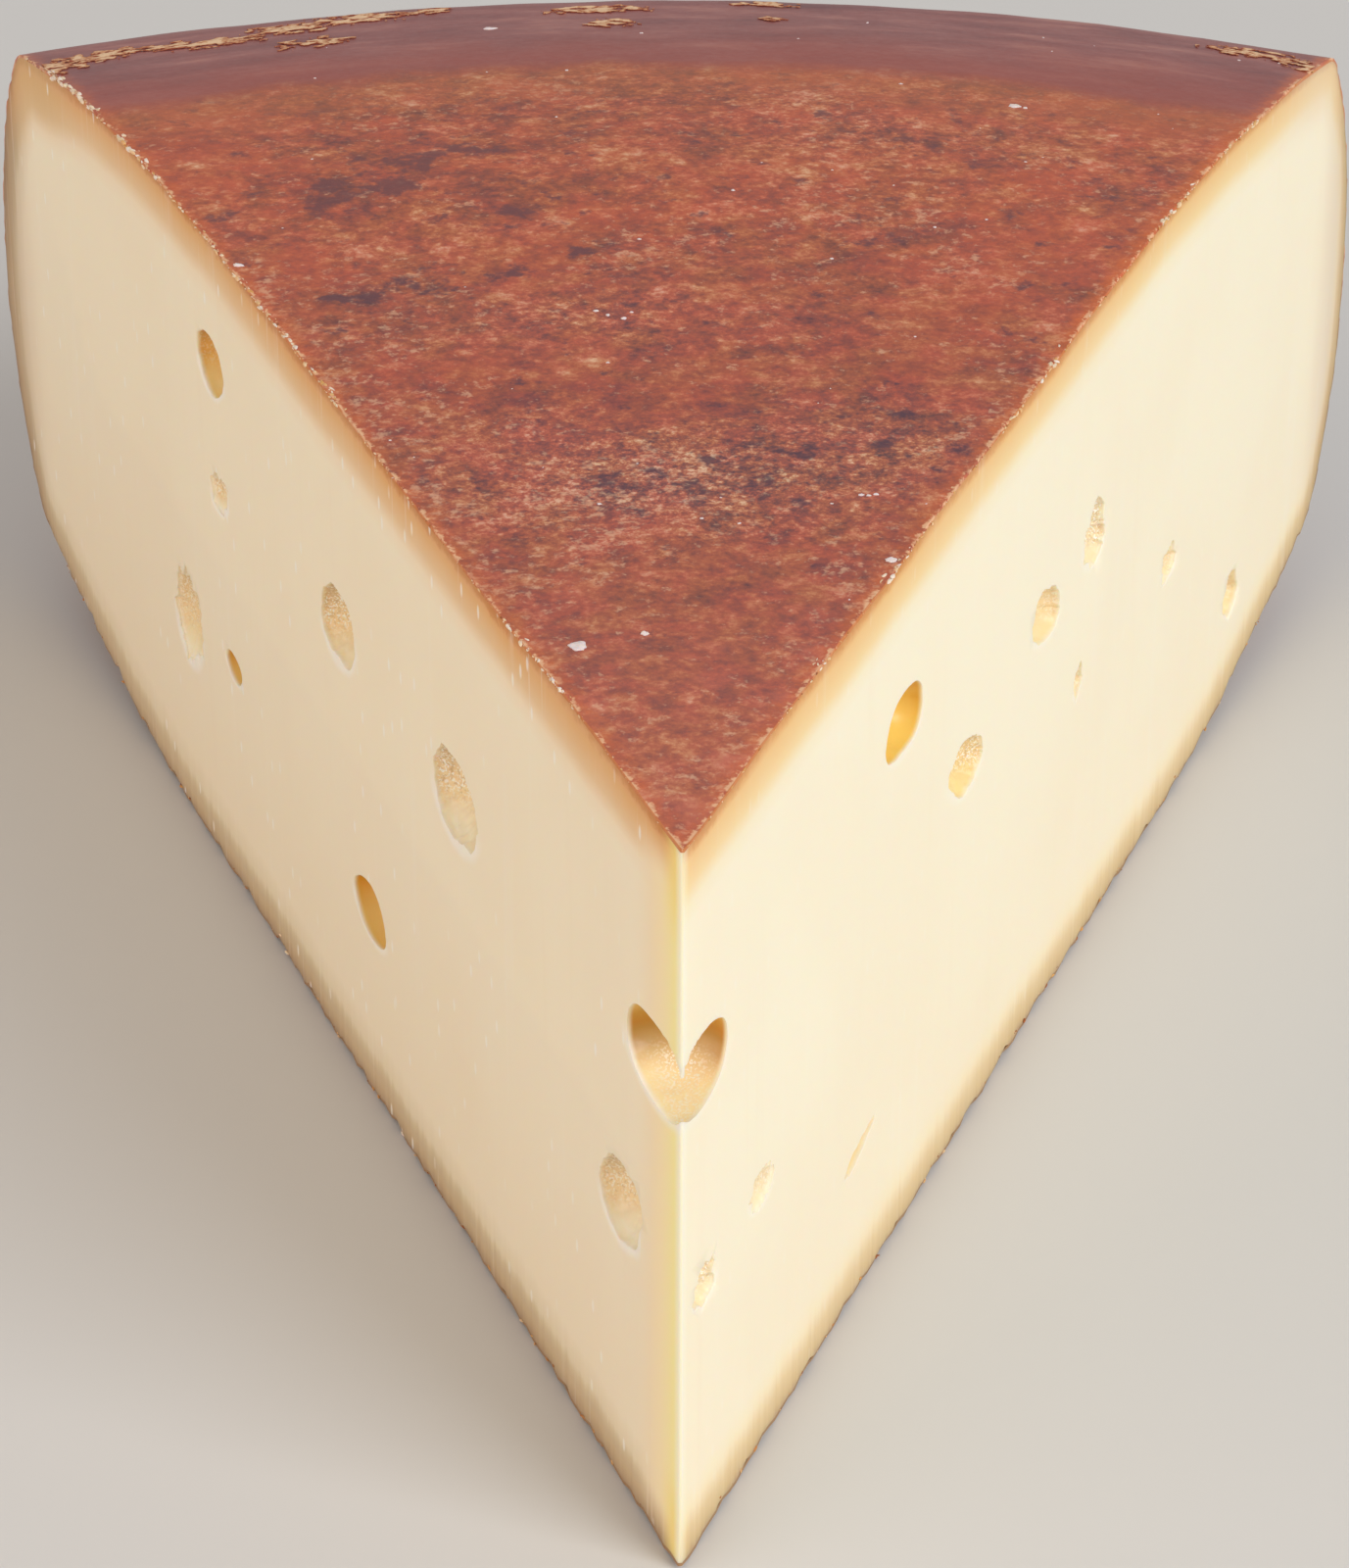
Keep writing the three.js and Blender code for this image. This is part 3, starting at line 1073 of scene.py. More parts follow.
@dataclass(frozen=True)
class Surface:
    """A finished piece that small things are laid on."""

    tree: BVHTree

    @classmethod
    def of(cls, piece: bpy.types.Object) -> "Surface":
        """Reads a finished piece.

        Args:
            piece: The piece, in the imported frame.

        Returns:
            Its surface, back in millimetres in the wheel's frame.
        """
        shape = bmesh.new()
        shape.from_mesh(piece.data)
        back = Matrix.Translation(-WHEEL_AXIS) @ Matrix.Scale(1 / MM, 4)
        bmesh.ops.transform(shape, matrix=back, verts=shape.verts)
        tree = BVHTree.FromBMesh(shape)
        shape.free()
        return cls(tree)

    def on_top(self, x: float, y: float) -> Vector:
        """Finds the highest point of the piece at a place.

        Args:
            x: Distance to the right of the wheel's axis.
            y: Distance from the wheel's axis towards the heel.

        Returns:
            The point, or the nearest one where the piece doesn't reach the place.
        """
        place, _, _, _ = self.tree.ray_cast(Vector((x, y, SKY)), DOWN)
        if place is None:
            place, _, _, _ = self.tree.find_nearest(Vector((x, y, SKY)))
        return place


@dataclass
class LooseBits(ABC):
    """Many small things that lie on the rind and are made as one piece."""

    surface: Surface

    NAME: ClassVar[str]
    SLOT: ClassVar[str]
    CREASE: ClassVar[float] = math.radians(50)

    @abstractmethod
    def shape(self) -> bmesh.types.BMesh:
        """Makes all the small things, in the wheel's frame."""

    def build(self, finish: bpy.types.Material) -> bpy.types.Object:
        """Builds the piece, presses it into the part's packed box and dresses it.

        Args:
            finish: Its material.

        Returns:
            The finished piece.
        """
        piece = make_object(self.NAME, self.shape())
        low, high = (np.array(corner) / MM - np.array(WHEEL_AXIS) for corner in CAD_BOX)
        write_points(piece.data, np.clip(read_points(piece.data), low, high))
        finish_piece(piece, finish, self.CREASE)
        return piece


@dataclass(frozen=True)
class CrumbRow:
    """Crumbs along a stretch of a cut edge."""

    side: Side
    start: float
    end: float
    count: int
    longest: float
    shade: float
    low: bool = False


@dataclass
class EdgeCrumbs(LooseBits):
    """Crumbs and slivers of paste and rind that the knife left along the edges."""

    section: WheelSection
    wear: CutWear
    seed: int = 5
    coarse_length: float = 0.35
    lengths: tuple[float, float] = (0.25, 1.0)
    length_power: float = 1.6
    depths: tuple[float, float] = (0.25, 0.5)
    heights: tuple[float, float] = (0.2, 0.4)
    least_deep: float = 0.06
    least_high: float = 0.05
    roll: float = 0.5
    pitch: float = 0.12
    yaw: float = 0.25
    edge: float = 0.5
    spread: float = 0.3
    sunk: float = 0.05
    sink_spread: float = 0.12
    low_lift: tuple[float, float] = (0.1, 0.7)
    shade_spread: float = 0.22
    swell: float = 0.5
    swell_pitch: float = 1.6
    rows: Sequence[CrumbRow] = (
        CrumbRow(Side.LEFT, 168.0, 186.0, 65, 1.8, 0.16),
        CrumbRow(Side.LEFT, 149.0, 160.0, 30, 1.6, 0.2),
        CrumbRow(Side.LEFT, 112.0, 150.0, 80, 1.0, 0.35),
        CrumbRow(Side.LEFT, 86.0, 112.0, 80, 1.1, 0.32), CrumbRow(Side.LEFT, 28.0, 43.0, 60, 0.9, 0.15),
        CrumbRow(Side.LEFT, 1.0, 196.0, 480, 0.65, 0.5),
        CrumbRow(Side.RIGHT, 154.0, 168.0, 40, 1.0, 0.45),
        CrumbRow(Side.RIGHT, 132.0, 146.0, 45, 1.2, 0.4),
        CrumbRow(Side.RIGHT, 84.0, 104.0, 50, 1.1, 0.35),
        CrumbRow(Side.RIGHT, 50.0, 58.0, 30, 1.2, 0.25), CrumbRow(Side.RIGHT, 33.0, 37.0, 12, 1.0, 0.3),
        CrumbRow(Side.RIGHT, 1.0, 190.0, 460, 0.65, 0.58),
        CrumbRow(Side.LEFT, 4.0, 195.0, 230, 0.9, 0.75, low=True),
        CrumbRow(Side.RIGHT, 4.0, 195.0, 230, 0.9, 0.75, low=True),
    )

    NAME = "edge_crumbs"
    SLOT = "paste"
    CREASE = math.radians(60)

    def crumb(self, row: CrumbRow, rng: random.Random) -> bmesh.types.BMesh:
        """Makes one crumb: a small uneven lump at the edge.

        Args:
            row: The row it belongs to.
            rng: Source of its size, turn and unevenness.

        Returns:
            The crumb, in the wheel's frame.
        """
        length = row.longest * rng.uniform(*self.lengths) ** self.length_power / 2
        deep = max(self.least_deep, length * rng.uniform(*self.depths))
        high = max(self.least_high, length * rng.uniform(*self.heights))
        roll = rng.uniform(-self.roll, self.roll)
        tilt = Euler((roll, rng.gauss(0.0, self.pitch), rng.gauss(0.0, self.yaw)))
        heading = Matrix.Rotation(math.atan2(row.side.along.y, row.side.along.x), 4, "Z")
        place = Matrix.Translation(self.spot(row, rng)) @ heading @ tilt.to_matrix().to_4x4()
        shade = min(1.0, max(0.0, rng.gauss(row.shade, self.shade_spread)))
        shift = Vector([rng.uniform(-50, 50) for _ in range(3)])
        shape = bmesh.new()
        layer = shape.verts.layers.float.new("shade")
        bmesh.ops.create_icosphere(shape, subdivisions=2 if length > self.coarse_length else 1, radius=1.0)
        for vert in shape.verts:
            swell = 1 + self.swell * noise.noise(vert.co * self.swell_pitch + shift)
            vert.co = place @ (vert.co * swell * Vector((length, deep, high)))
            vert[layer] = shade
        return shape

    def spot(self, row: CrumbRow, rng: random.Random) -> Vector:
        """Chooses where the next crumb of a row lies.

        Args:
            row: The row.
            rng: Source of the place.

        Returns:
            The crumb's middle.
        """
        along = rng.uniform(row.start, row.end)
        inward = -row.side.outward
        foot = TIP + row.side.along * along
        if row.low:
            radii = np.array([along])
            height = self.section.underside_at(radii) + self.wear.torn_height(radii, row.side)
            inset = rng.uniform(0.0, self.edge)
            return foot + inward * inset + UP * (float(height[0]) + rng.uniform(*self.low_lift))
        inside = foot + inward * self.edge
        top = self.surface.on_top(inside.x, inside.y).z
        inset = abs(rng.gauss(0.0, self.spread))
        return foot + inward * inset + UP * (top - self.sunk - abs(rng.gauss(0.0, self.sink_spread)))

    def shape(self) -> bmesh.types.BMesh:
        """Makes all the crumbs."""
        rng = random.Random(self.seed)
        return joined(self.crumb(row, rng) for row in self.rows for _ in range(row.count))


@dataclass(frozen=True)
class FlakePatch:
    """A place on the shoulder where its dried smear has lifted into flakes."""

    x: float
    radius: float
    wide: float
    deep: float
    cover: float


@dataclass
class ShoulderFlakes(LooseBits):
    """Thin dry flakes on the smooth shoulder."""

    cell: float = 0.22
    thickness: float = 0.08
    margin: float = 0.15
    island_size: tuple[float, float] = (2.0, 1.0)
    island_height: float = 1.6
    patch_fall: float = 1.3
    lift: float = 0.06
    curl: float = 0.08
    curl_size: float = 1.2
    easings: int = 2
    patches: Sequence[FlakePatch] = (
        FlakePatch(-71.0, 187.5, 4.5, 3.2, 0.85), FlakePatch(-66.0, 190.5, 5.5, 2.8, 0.8),
        FlakePatch(-59.0, 191.0, 4.0, 1.8, 0.6), FlakePatch(-53.0, 189.5, 7.0, 2.2, 0.7),
        FlakePatch(-44.5, 192.5, 6.0, 2.6, 0.8), FlakePatch(-37.0, 194.5, 7.0, 2.4, 0.8),
        FlakePatch(-29.0, 195.5, 4.0, 1.6, 0.6), FlakePatch(-41.5, 185.0, 5.0, 2.8, 0.55),
        FlakePatch(-9.5, 193.0, 7.0, 2.0, 0.8), FlakePatch(-7.5, 186.5, 3.5, 2.6, 0.65),
        FlakePatch(10.5, 195.5, 4.5, 1.5, 0.65), FlakePatch(11.2, 188.0, 2.0, 1.4, 0.6),
        FlakePatch(66.0, 192.5, 6.5, 2.6, 0.7), FlakePatch(72.5, 190.5, 4.0, 2.8, 0.7),
    )

    NAME = "shoulder_flakes"
    SLOT = "rind"

    def patch(self, shape: bmesh.types.BMesh, spot: FlakePatch, seed: int) -> None:
        """Adds the flakes of one place.

        Args:
            shape: The shape that collects the flakes.
            spot: Where they are.
            seed: Chooses the flakes' own outlines.
        """
        layer = shape.verts.layers.float["rim"]
        columns, rows = (round(2 * reach / self.cell) for reach in (spot.wide, spot.deep))
        made = bmesh.ops.create_grid(shape, x_segments=columns, y_segments=rows, size=1.0)["verts"]
        shift = Vector((seed * 31.0, seed * 7.0, seed * 3.0))
        long, short = self.island_size
        for vert in made:
            across, along = vert.co.x, vert.co.y
            x, radius = spot.x + across * spot.wide, spot.radius + along * spot.deep
            island = noise.fractal(Vector((x / long, radius / short, 0.0)) + shift, 0.55, 2.0, 6)
            fall = self.patch_fall * (across * across + along * along)
            vert[layer] = self.island_height * island + spot.cover - fall
            place = self.surface.on_top(x, math.sqrt(max(1.0, radius * radius - x * x)))
            curl = self.lift + self.curl * noise.noise(Vector((x, radius, 0.0)) / self.curl_size + shift)
            vert.co = place + UP * curl
            if depth_from_cuts(np.array([place]))[0] < self.margin:
                vert[layer] = BARE
        faces = {face for vert in made for face in vert.link_faces}
        bare = [face for face in faces if sum(vert[layer] for vert in face.verts) < 0]
        bmesh.ops.delete(shape, geom=bare, context="FACES")

    def shape(self) -> bmesh.types.BMesh:
        """Makes all the flakes, with eased rims and some thickness.

        Returns:
            The flakes, in the wheel's frame.
        """
        shape = bmesh.new()
        shape.verts.layers.float.new("rim")
        for seed, spot in enumerate(self.patches):
            self.patch(shape, spot, seed)
        limit = [vert for vert in shape.verts if vert.is_boundary]
        axes = {f"use_axis_{axis}": True for axis in "xyz"}
        for _ in range(self.easings):
            bmesh.ops.smooth_vert(shape, verts=limit, factor=0.5, **axes)
        raised = bmesh.ops.extrude_face_region(shape, geom=shape.faces[:], use_keep_orig=True)["geom"]
        lifted = [item for item in raised if isinstance(item, bmesh.types.BMVert)]
        bmesh.ops.translate(shape, vec=UP * self.thickness, verts=lifted)
        bmesh.ops.recalc_face_normals(shape, faces=shape.faces)
        return shape


@dataclass(frozen=True)
class Chip:
    """A small dry chip of paste on the rind."""

    x: float
    y: float
    wide: float
    deep: float


@dataclass
class RindChips(LooseBits):
    """Pale chips scattered on the rind."""

    seed: int = 11
    height: float = 0.16
    shade: float = 0.25
    swell: float = 0.5
    swell_pitch: float = 1.3
    chips: Sequence[Chip] = (
        Chip(-9.3, 34.4, 1.7, 1.5), Chip(-3.3, 36.9, 0.8, 0.7), Chip(37.1, 155.4, 1.3, 1.0),
        Chip(38.2, 154.9, 0.5, 0.5), Chip(-45.4, 112.8, 1.0, 0.7), Chip(17.2, 62.6, 0.5, 0.4),
        Chip(17.9, 62.5, 0.4, 0.4), Chip(18.6, 62.7, 0.5, 0.4), Chip(19.6, 50.6, 1.1, 0.9),
        Chip(-21.5, 184.2, 1.5, 0.7), Chip(-8.4, 101.2, 0.5, 0.4), Chip(-7.2, 100.2, 0.4, 0.4),
        Chip(-5.6, 99.6, 0.6, 0.4), Chip(-4.8, 100.9, 0.4, 0.3),
    )
    scattered: int = 46
    reach: float = 190.0
    widest: float = 0.95
    areas: tuple[float, float] = (0.02, 1.0)
    sizes: tuple[float, float] = (0.16, 0.42)
    ratios: tuple[float, float] = (0.5, 0.9)

    NAME = "rind_chips"
    SLOT = "paste"

    def all_chips(self) -> list[Chip]:
        """Lists the placed chips and adds the finest ones, scattered over the top.

        Returns:
            All the chips.
        """
        rng = random.Random(self.seed)
        chips = list(self.chips)
        for _ in range(self.scattered):
            radius = self.reach * math.sqrt(rng.uniform(*self.areas))
            angle = rng.uniform(-self.widest, self.widest) * HALF_ANGLE
            size = rng.uniform(*self.sizes)
            deep = size * rng.uniform(*self.ratios)
            chips.append(Chip(radius * math.sin(angle), radius * math.cos(angle), size, deep))
        return chips

    def shape(self) -> bmesh.types.BMesh:
        """Makes all the chips.

        Returns:
            The chips, in the wheel's frame.
        """
        shape = bmesh.new()
        layer = shape.verts.layers.float.new("shade")
        for index, chip in enumerate(self.all_chips()):
            made = bmesh.ops.create_icosphere(shape, subdivisions=3, radius=1.0)["verts"]
            place = self.surface.on_top(chip.x, chip.y)
            shift = Vector((index * 5.0, index * 2.0, 0.0))
            size = Vector((chip.wide / 2, chip.deep / 2, min(self.height, chip.wide / 4)))
            for vert in made:
                flat = Vector((vert.co.x, vert.co.y, 0.0)) * self.swell_pitch
                swell = 1 + self.swell * noise.fractal(flat + shift, 1.0, 2.0, 3)
                vert.co = place + vert.co * swell * size
                vert[layer] = self.shade
        return shape


# ---- Materials ----

Colour = tuple[float, float, float]
Shade = tuple[float, float, float, float]
Stops = Sequence[tuple[float, Shade]]


def linear(red: int, green: int, blue: int) -> Shade:
    """Turns a display colour into a shader colour.

    Args:
        red: Red, from 0 to 255.
        green: Green, from 0 to 255.
        blue: Blue, from 0 to 255.

    Returns:
        The linear colour, from 0 to 1 a channel, opaque.
    """
    shares = np.array((red, green, blue)) / 255
    curved = np.where(shares <= 0.04045, shares / 12.92, ((shares + 0.055) / 1.055) ** 2.4)
    return (*curved.tolist(), 1.0)


def stops(*rows: tuple[float, int, int, int]) -> Stops:
    """Turns rows of a place from 0 to 1 and a display colour into a ramp's stops."""
    return tuple((place, linear(*colour)) for place, *colour in rows)


def operator(kind: str, swapped: bool = False) -> Callable[["Signal", "Value"], "Signal"]:
    """Makes a Python operator that adds a Math node.

    Args:
        kind: The node's operation.
        swapped: Whether the other value comes first.

    Returns:
        The operator, as a method of a signal.
    """

    def work(self: "Signal", other: "Value") -> "Signal":
        """Works on the signal and the other value."""
        return self.worked(kind, *((other, self) if swapped else (self, other)))

    return work


class Signal:
    """A node's output that takes part in Python expressions."""

    __add__ = operator("ADD")
    __radd__ = operator("ADD", swapped=True)
    __sub__ = operator("SUBTRACT")
    __rsub__ = operator("SUBTRACT", swapped=True)
    __mul__ = operator("MULTIPLY")
    __truediv__ = operator("DIVIDE")
    __pow__ = operator("POWER")
    floored = operator("MAXIMUM")

    def __init__(self, bench: "Bench", socket: bpy.types.NodeSocket) -> None:
        """Wraps one output socket of a bench's node tree."""
        self.bench = bench
        self.socket = socket

    def worked(self, kind: str, *values: "Value") -> "Signal":
        """Adds a Math node of a kind that works on the values."""
        return self.bench.add("ShaderNodeMath", {"operation": kind}, dict(enumerate(values)))

    def __abs__(self) -> "Signal":
        """Drops the sign."""
        return self.worked("ABSOLUTE", self)

    def eased(self, low: float, high: float) -> "Signal":
        """Rises smoothly from 0 at low to 1 at high. With low above high it falls instead.

        Args:
            low: Where the result is 0.
            high: Where the result is 1.

        Returns:
            A mask from 0 to 1.
        """
        if low > high:
            return 1 - self.eased(high, low)
        inputs = {"Value": self, "From Min": low, "From Max": high}
        return self.bench.add("ShaderNodeMapRange", {"interpolation_type": "SMOOTHSTEP"}, inputs)


Value = Signal | float
Tint = Signal | Shade


@dataclass(frozen=True)
class Grain:
    """Even noise of one size. As a mask it rises from low to high, up to a share."""

    size: float
    detail: float
    rough: float
    seed: float = 0.0
    low: float = 0.0
    high: float = 1.0
    share: float = 1.0

    SEED_STEP = 7.3


class Bench:
    """A material in the making."""

    def __init__(self, name: str) -> None:
        """Starts an empty material.

        Args:
            name: The material's name.
        """
        self.material = bpy.data.materials.new(name)
        self.material.use_nodes = True
        self.tree = self.material.node_tree
        self.tree.nodes.clear()

    def node(self, kind: str, settings: dict, inputs: dict) -> bpy.types.Node:
        """Adds a node.

        Args:
            kind: The node's type.
            settings: Its properties, or the stops of its ramp, which are set first.
            inputs: Values or signals by the socket's name, identifier or number.

        Returns:
            The node.
        """
        made = self.tree.nodes.new(kind)
        for key, setting in settings.items():
            if key == "stops":
                self.set_stops(made.color_ramp, setting)
            else:
                setattr(made, key, setting)
        for key, value in inputs.items():
            socket = self.find(made.inputs, key)
            if isinstance(value, Signal):
                self.tree.links.new(value.socket, socket)
            else:
                socket.default_value = value
        return made

    def add(self, kind: str, settings: dict, inputs: dict, output: str | int = 0) -> Signal:
        """Adds a node and gives one of its outputs.

        Args:
            kind: The node's type.
            settings: Its properties.
            inputs: Values or signals by socket.
            output: The output's name, identifier or number.

        Returns:
            That output.
        """
        return Signal(self, self.find(self.node(kind, settings, inputs).outputs, output))

    @staticmethod
    def find(sockets: bpy.types.bpy_prop_collection, key: str | int) -> bpy.types.NodeSocket:
        """Finds a socket by its identifier, its name or its number."""
        named = [socket for socket in sockets if key == socket.identifier]
        return named[0] if named else sockets[key]

    @staticmethod
    def set_stops(ramp: bpy.types.ColorRamp, rows: Stops) -> None:
        """Gives a ramp its stops.

        Args:
            ramp: The ramp.
            rows: The places and colours of its stops.
        """
        while len(ramp.elements) < len(rows):
            ramp.elements.new(1.0)
        for element, (position, colour) in zip(ramp.elements, rows):
            element.position = position
            element.color = colour

    def attribute(self, name: str) -> Signal:
        """Reads a number that is painted on the piece."""
        return self.add("ShaderNodeAttribute", {"attribute_name": name}, {}, "Fac")

    def place(self) -> Signal:
        """Gives the place in the wheel's frame.

        Returns:
            The place, in millimetres.
        """
        here = self.add("ShaderNodeTexCoord", {}, {}, "Object")
        inputs = {0: here, 1: (1 / MM,) * 3, 2: tuple(-WHEEL_AXIS)}
        return self.add("ShaderNodeVectorMath", {"operation": "MULTIPLY_ADD"}, inputs)

    def split(self, vector: Signal) -> list[Signal]:
        """Gives a vector's three parts."""
        made = self.node("ShaderNodeSeparateXYZ", {}, {0: vector})
        return [Signal(self, socket) for socket in made.outputs]

    def vector(self, x: Value, y: Value, z: Value = 0.0) -> Signal:
        """Joins three numbers into a vector."""
        return self.add("ShaderNodeCombineXYZ", {}, {0: x, 1: y, 2: z})

    def noise(self, where: Signal, grain: Grain) -> Signal:
        """Adds even noise.

        Args:
            where: Its coordinates, in millimetres.
            grain: The noise.

        Returns:
            A value round 0.5.
        """
        inputs = {
            "Vector": where,
            "W": grain.seed * grain.SEED_STEP,
            "Scale": 1 / grain.size,
            "Detail": grain.detail,
            "Roughness": grain.rough,
        }
        return self.add("ShaderNodeTexNoise", {"noise_dimensions": "4D"}, inputs, "Fac")

    def swing(self, where: Signal, grain: Grain) -> Signal:
        """Adds even noise round 0."""
        return self.noise(where, grain) - 0.5

    def mask(self, where: Signal, grain: Grain, lift: Value = 0.0) -> Signal:
        """Adds even noise as a mask.

        Args:
            where: Its coordinates, in millimetres.
            grain: The noise and its limits.
            lift: What is added before it is cut, so that more of it shows.

        Returns:
            A value from 0 to the grain's share.
        """
        return (self.noise(where, grain) + lift).eased(grain.low, grain.high) * grain.share

    def cells(self, where: Signal) -> Signal:
        """Gives the distance from the middles of flat cells that are 1 across."""
        inputs = {"Vector": where, "Scale": 1.0}
        return self.add("ShaderNodeTexVoronoi", {"voronoi_dimensions": "2D"}, inputs, "Distance")

    def ramp(self, value: Value, rows: Stops) -> Signal:
        """Colours a value by stops from 0 to 1."""
        return self.add("ShaderNodeValToRGB", {"stops": rows}, {"Fac": value})

    def blend(self, share: Value, under: Tint, over: Tint, way: str = "MIX") -> Signal:
        """Lays one colour over another.

        Args:
            share: How much of the upper colour shows.
            under: The lower colour.
            over: The upper colour.
            way: The Mix node's blend type.

        Returns:
            The mixed colour.
        """
        inputs = {"Factor_Float": share, "A_Color": under, "B_Color": over}
        return self.add("ShaderNodeMix", {"data_type": "RGBA", "blend_type": way}, inputs, "Result_Color")

    def coated(self, colour: Tint, *coats: tuple[Value, Tint]) -> Signal:
        """Lays coats over a colour.

        Args:
            colour: The lowest colour.
            coats: Each a share and a tint, the first one lowest.

        Returns:
            The mixed colour.
        """
        for share, tint in coats:
            colour = self.blend(share, colour, tint)
        return colour

    def bump(self, height: Signal, distance: float, strength: float = 1.0) -> Signal:
        """Turns a height into a bumped normal.

        Args:
            height: The height, from 0 to 1.
            distance: What a height of 1 stands for, in millimetres.
            strength: How strongly it shows.

        Returns:
            The normal.
        """
        inputs = {"Height": height, "Distance": distance * MM, "Strength": strength}
        return self.add("ShaderNodeBump", {}, inputs)

    def surface(self, inputs: dict) -> bpy.types.Material:
        """Closes the material with a Principled shader.

        Args:
            inputs: Values or signals by the socket's name.

        Returns:
            The finished material.
        """
        shader = self.add("ShaderNodeBsdfPrincipled", {}, inputs)
        self.node("ShaderNodeOutputMaterial", {}, {"Surface": shader})
        return self.material


@dataclass(frozen=True)
class CutTints:
    """Colours of one cut, each as stops over a share: of the band's depth, or of an eye's height."""

    under_rind: Stops
    # Darker towards the underside: partly the paste's own tan band, partly painted shade near the floor.
    low: Stops
    # pale_eye and golden_eye darken towards an eye's top: painted shade on the upper wall and painted light
    # on the lower wall, over the eye's own pale or golden colour.
    pale_eye: Stops
    golden_eye: Stops


LEFT_TINTS = CutTints(
    under_rind=stops(
        (0.0, 214, 138, 84), (0.125, 229, 168, 108), (0.19, 230, 175, 111), (0.5, 236, 199, 151),
        (0.75, 250, 229, 196), (1.0, 251, 236, 206),
    ),
    low=stops(
        (0.0, 164, 126, 92), (0.25, 198, 172, 131), (0.375, 202, 180, 143), (0.5, 215, 197, 158),
        (0.625, 235, 220, 187), (1.0, 248, 234, 205),
    ),
    pale_eye=stops((0.05, 255, 246, 222), (0.3, 248, 224, 178), (0.5, 245, 220, 174), (0.85, 220, 200, 160)),
    golden_eye=stops((0.05, 250, 222, 140), (0.5, 240, 188, 66), (0.85, 208, 148, 42)),
)

RIGHT_TINTS = CutTints(
    under_rind=stops(
        (0.0, 224, 150, 90), (0.09, 230, 165, 100), (0.19, 241, 194, 129), (0.5, 246, 214, 156),
        (0.75, 251, 235, 200), (1.0, 252, 239, 210),
    ),
    low=stops(
        (0.0, 190, 150, 106), (0.125, 210, 178, 124), (0.375, 228, 200, 150), (0.625, 250, 231, 191),
        (0.75, 252, 237, 202), (1.0, 252, 239, 210),
    ),
    pale_eye=stops((0.05, 250, 238, 206), (0.5, 246, 228, 192), (0.85, 240, 224, 188)),
    golden_eye=stops((0.05, 252, 216, 112), (0.5, 234, 186, 78), (0.85, 234, 196, 112)),
)


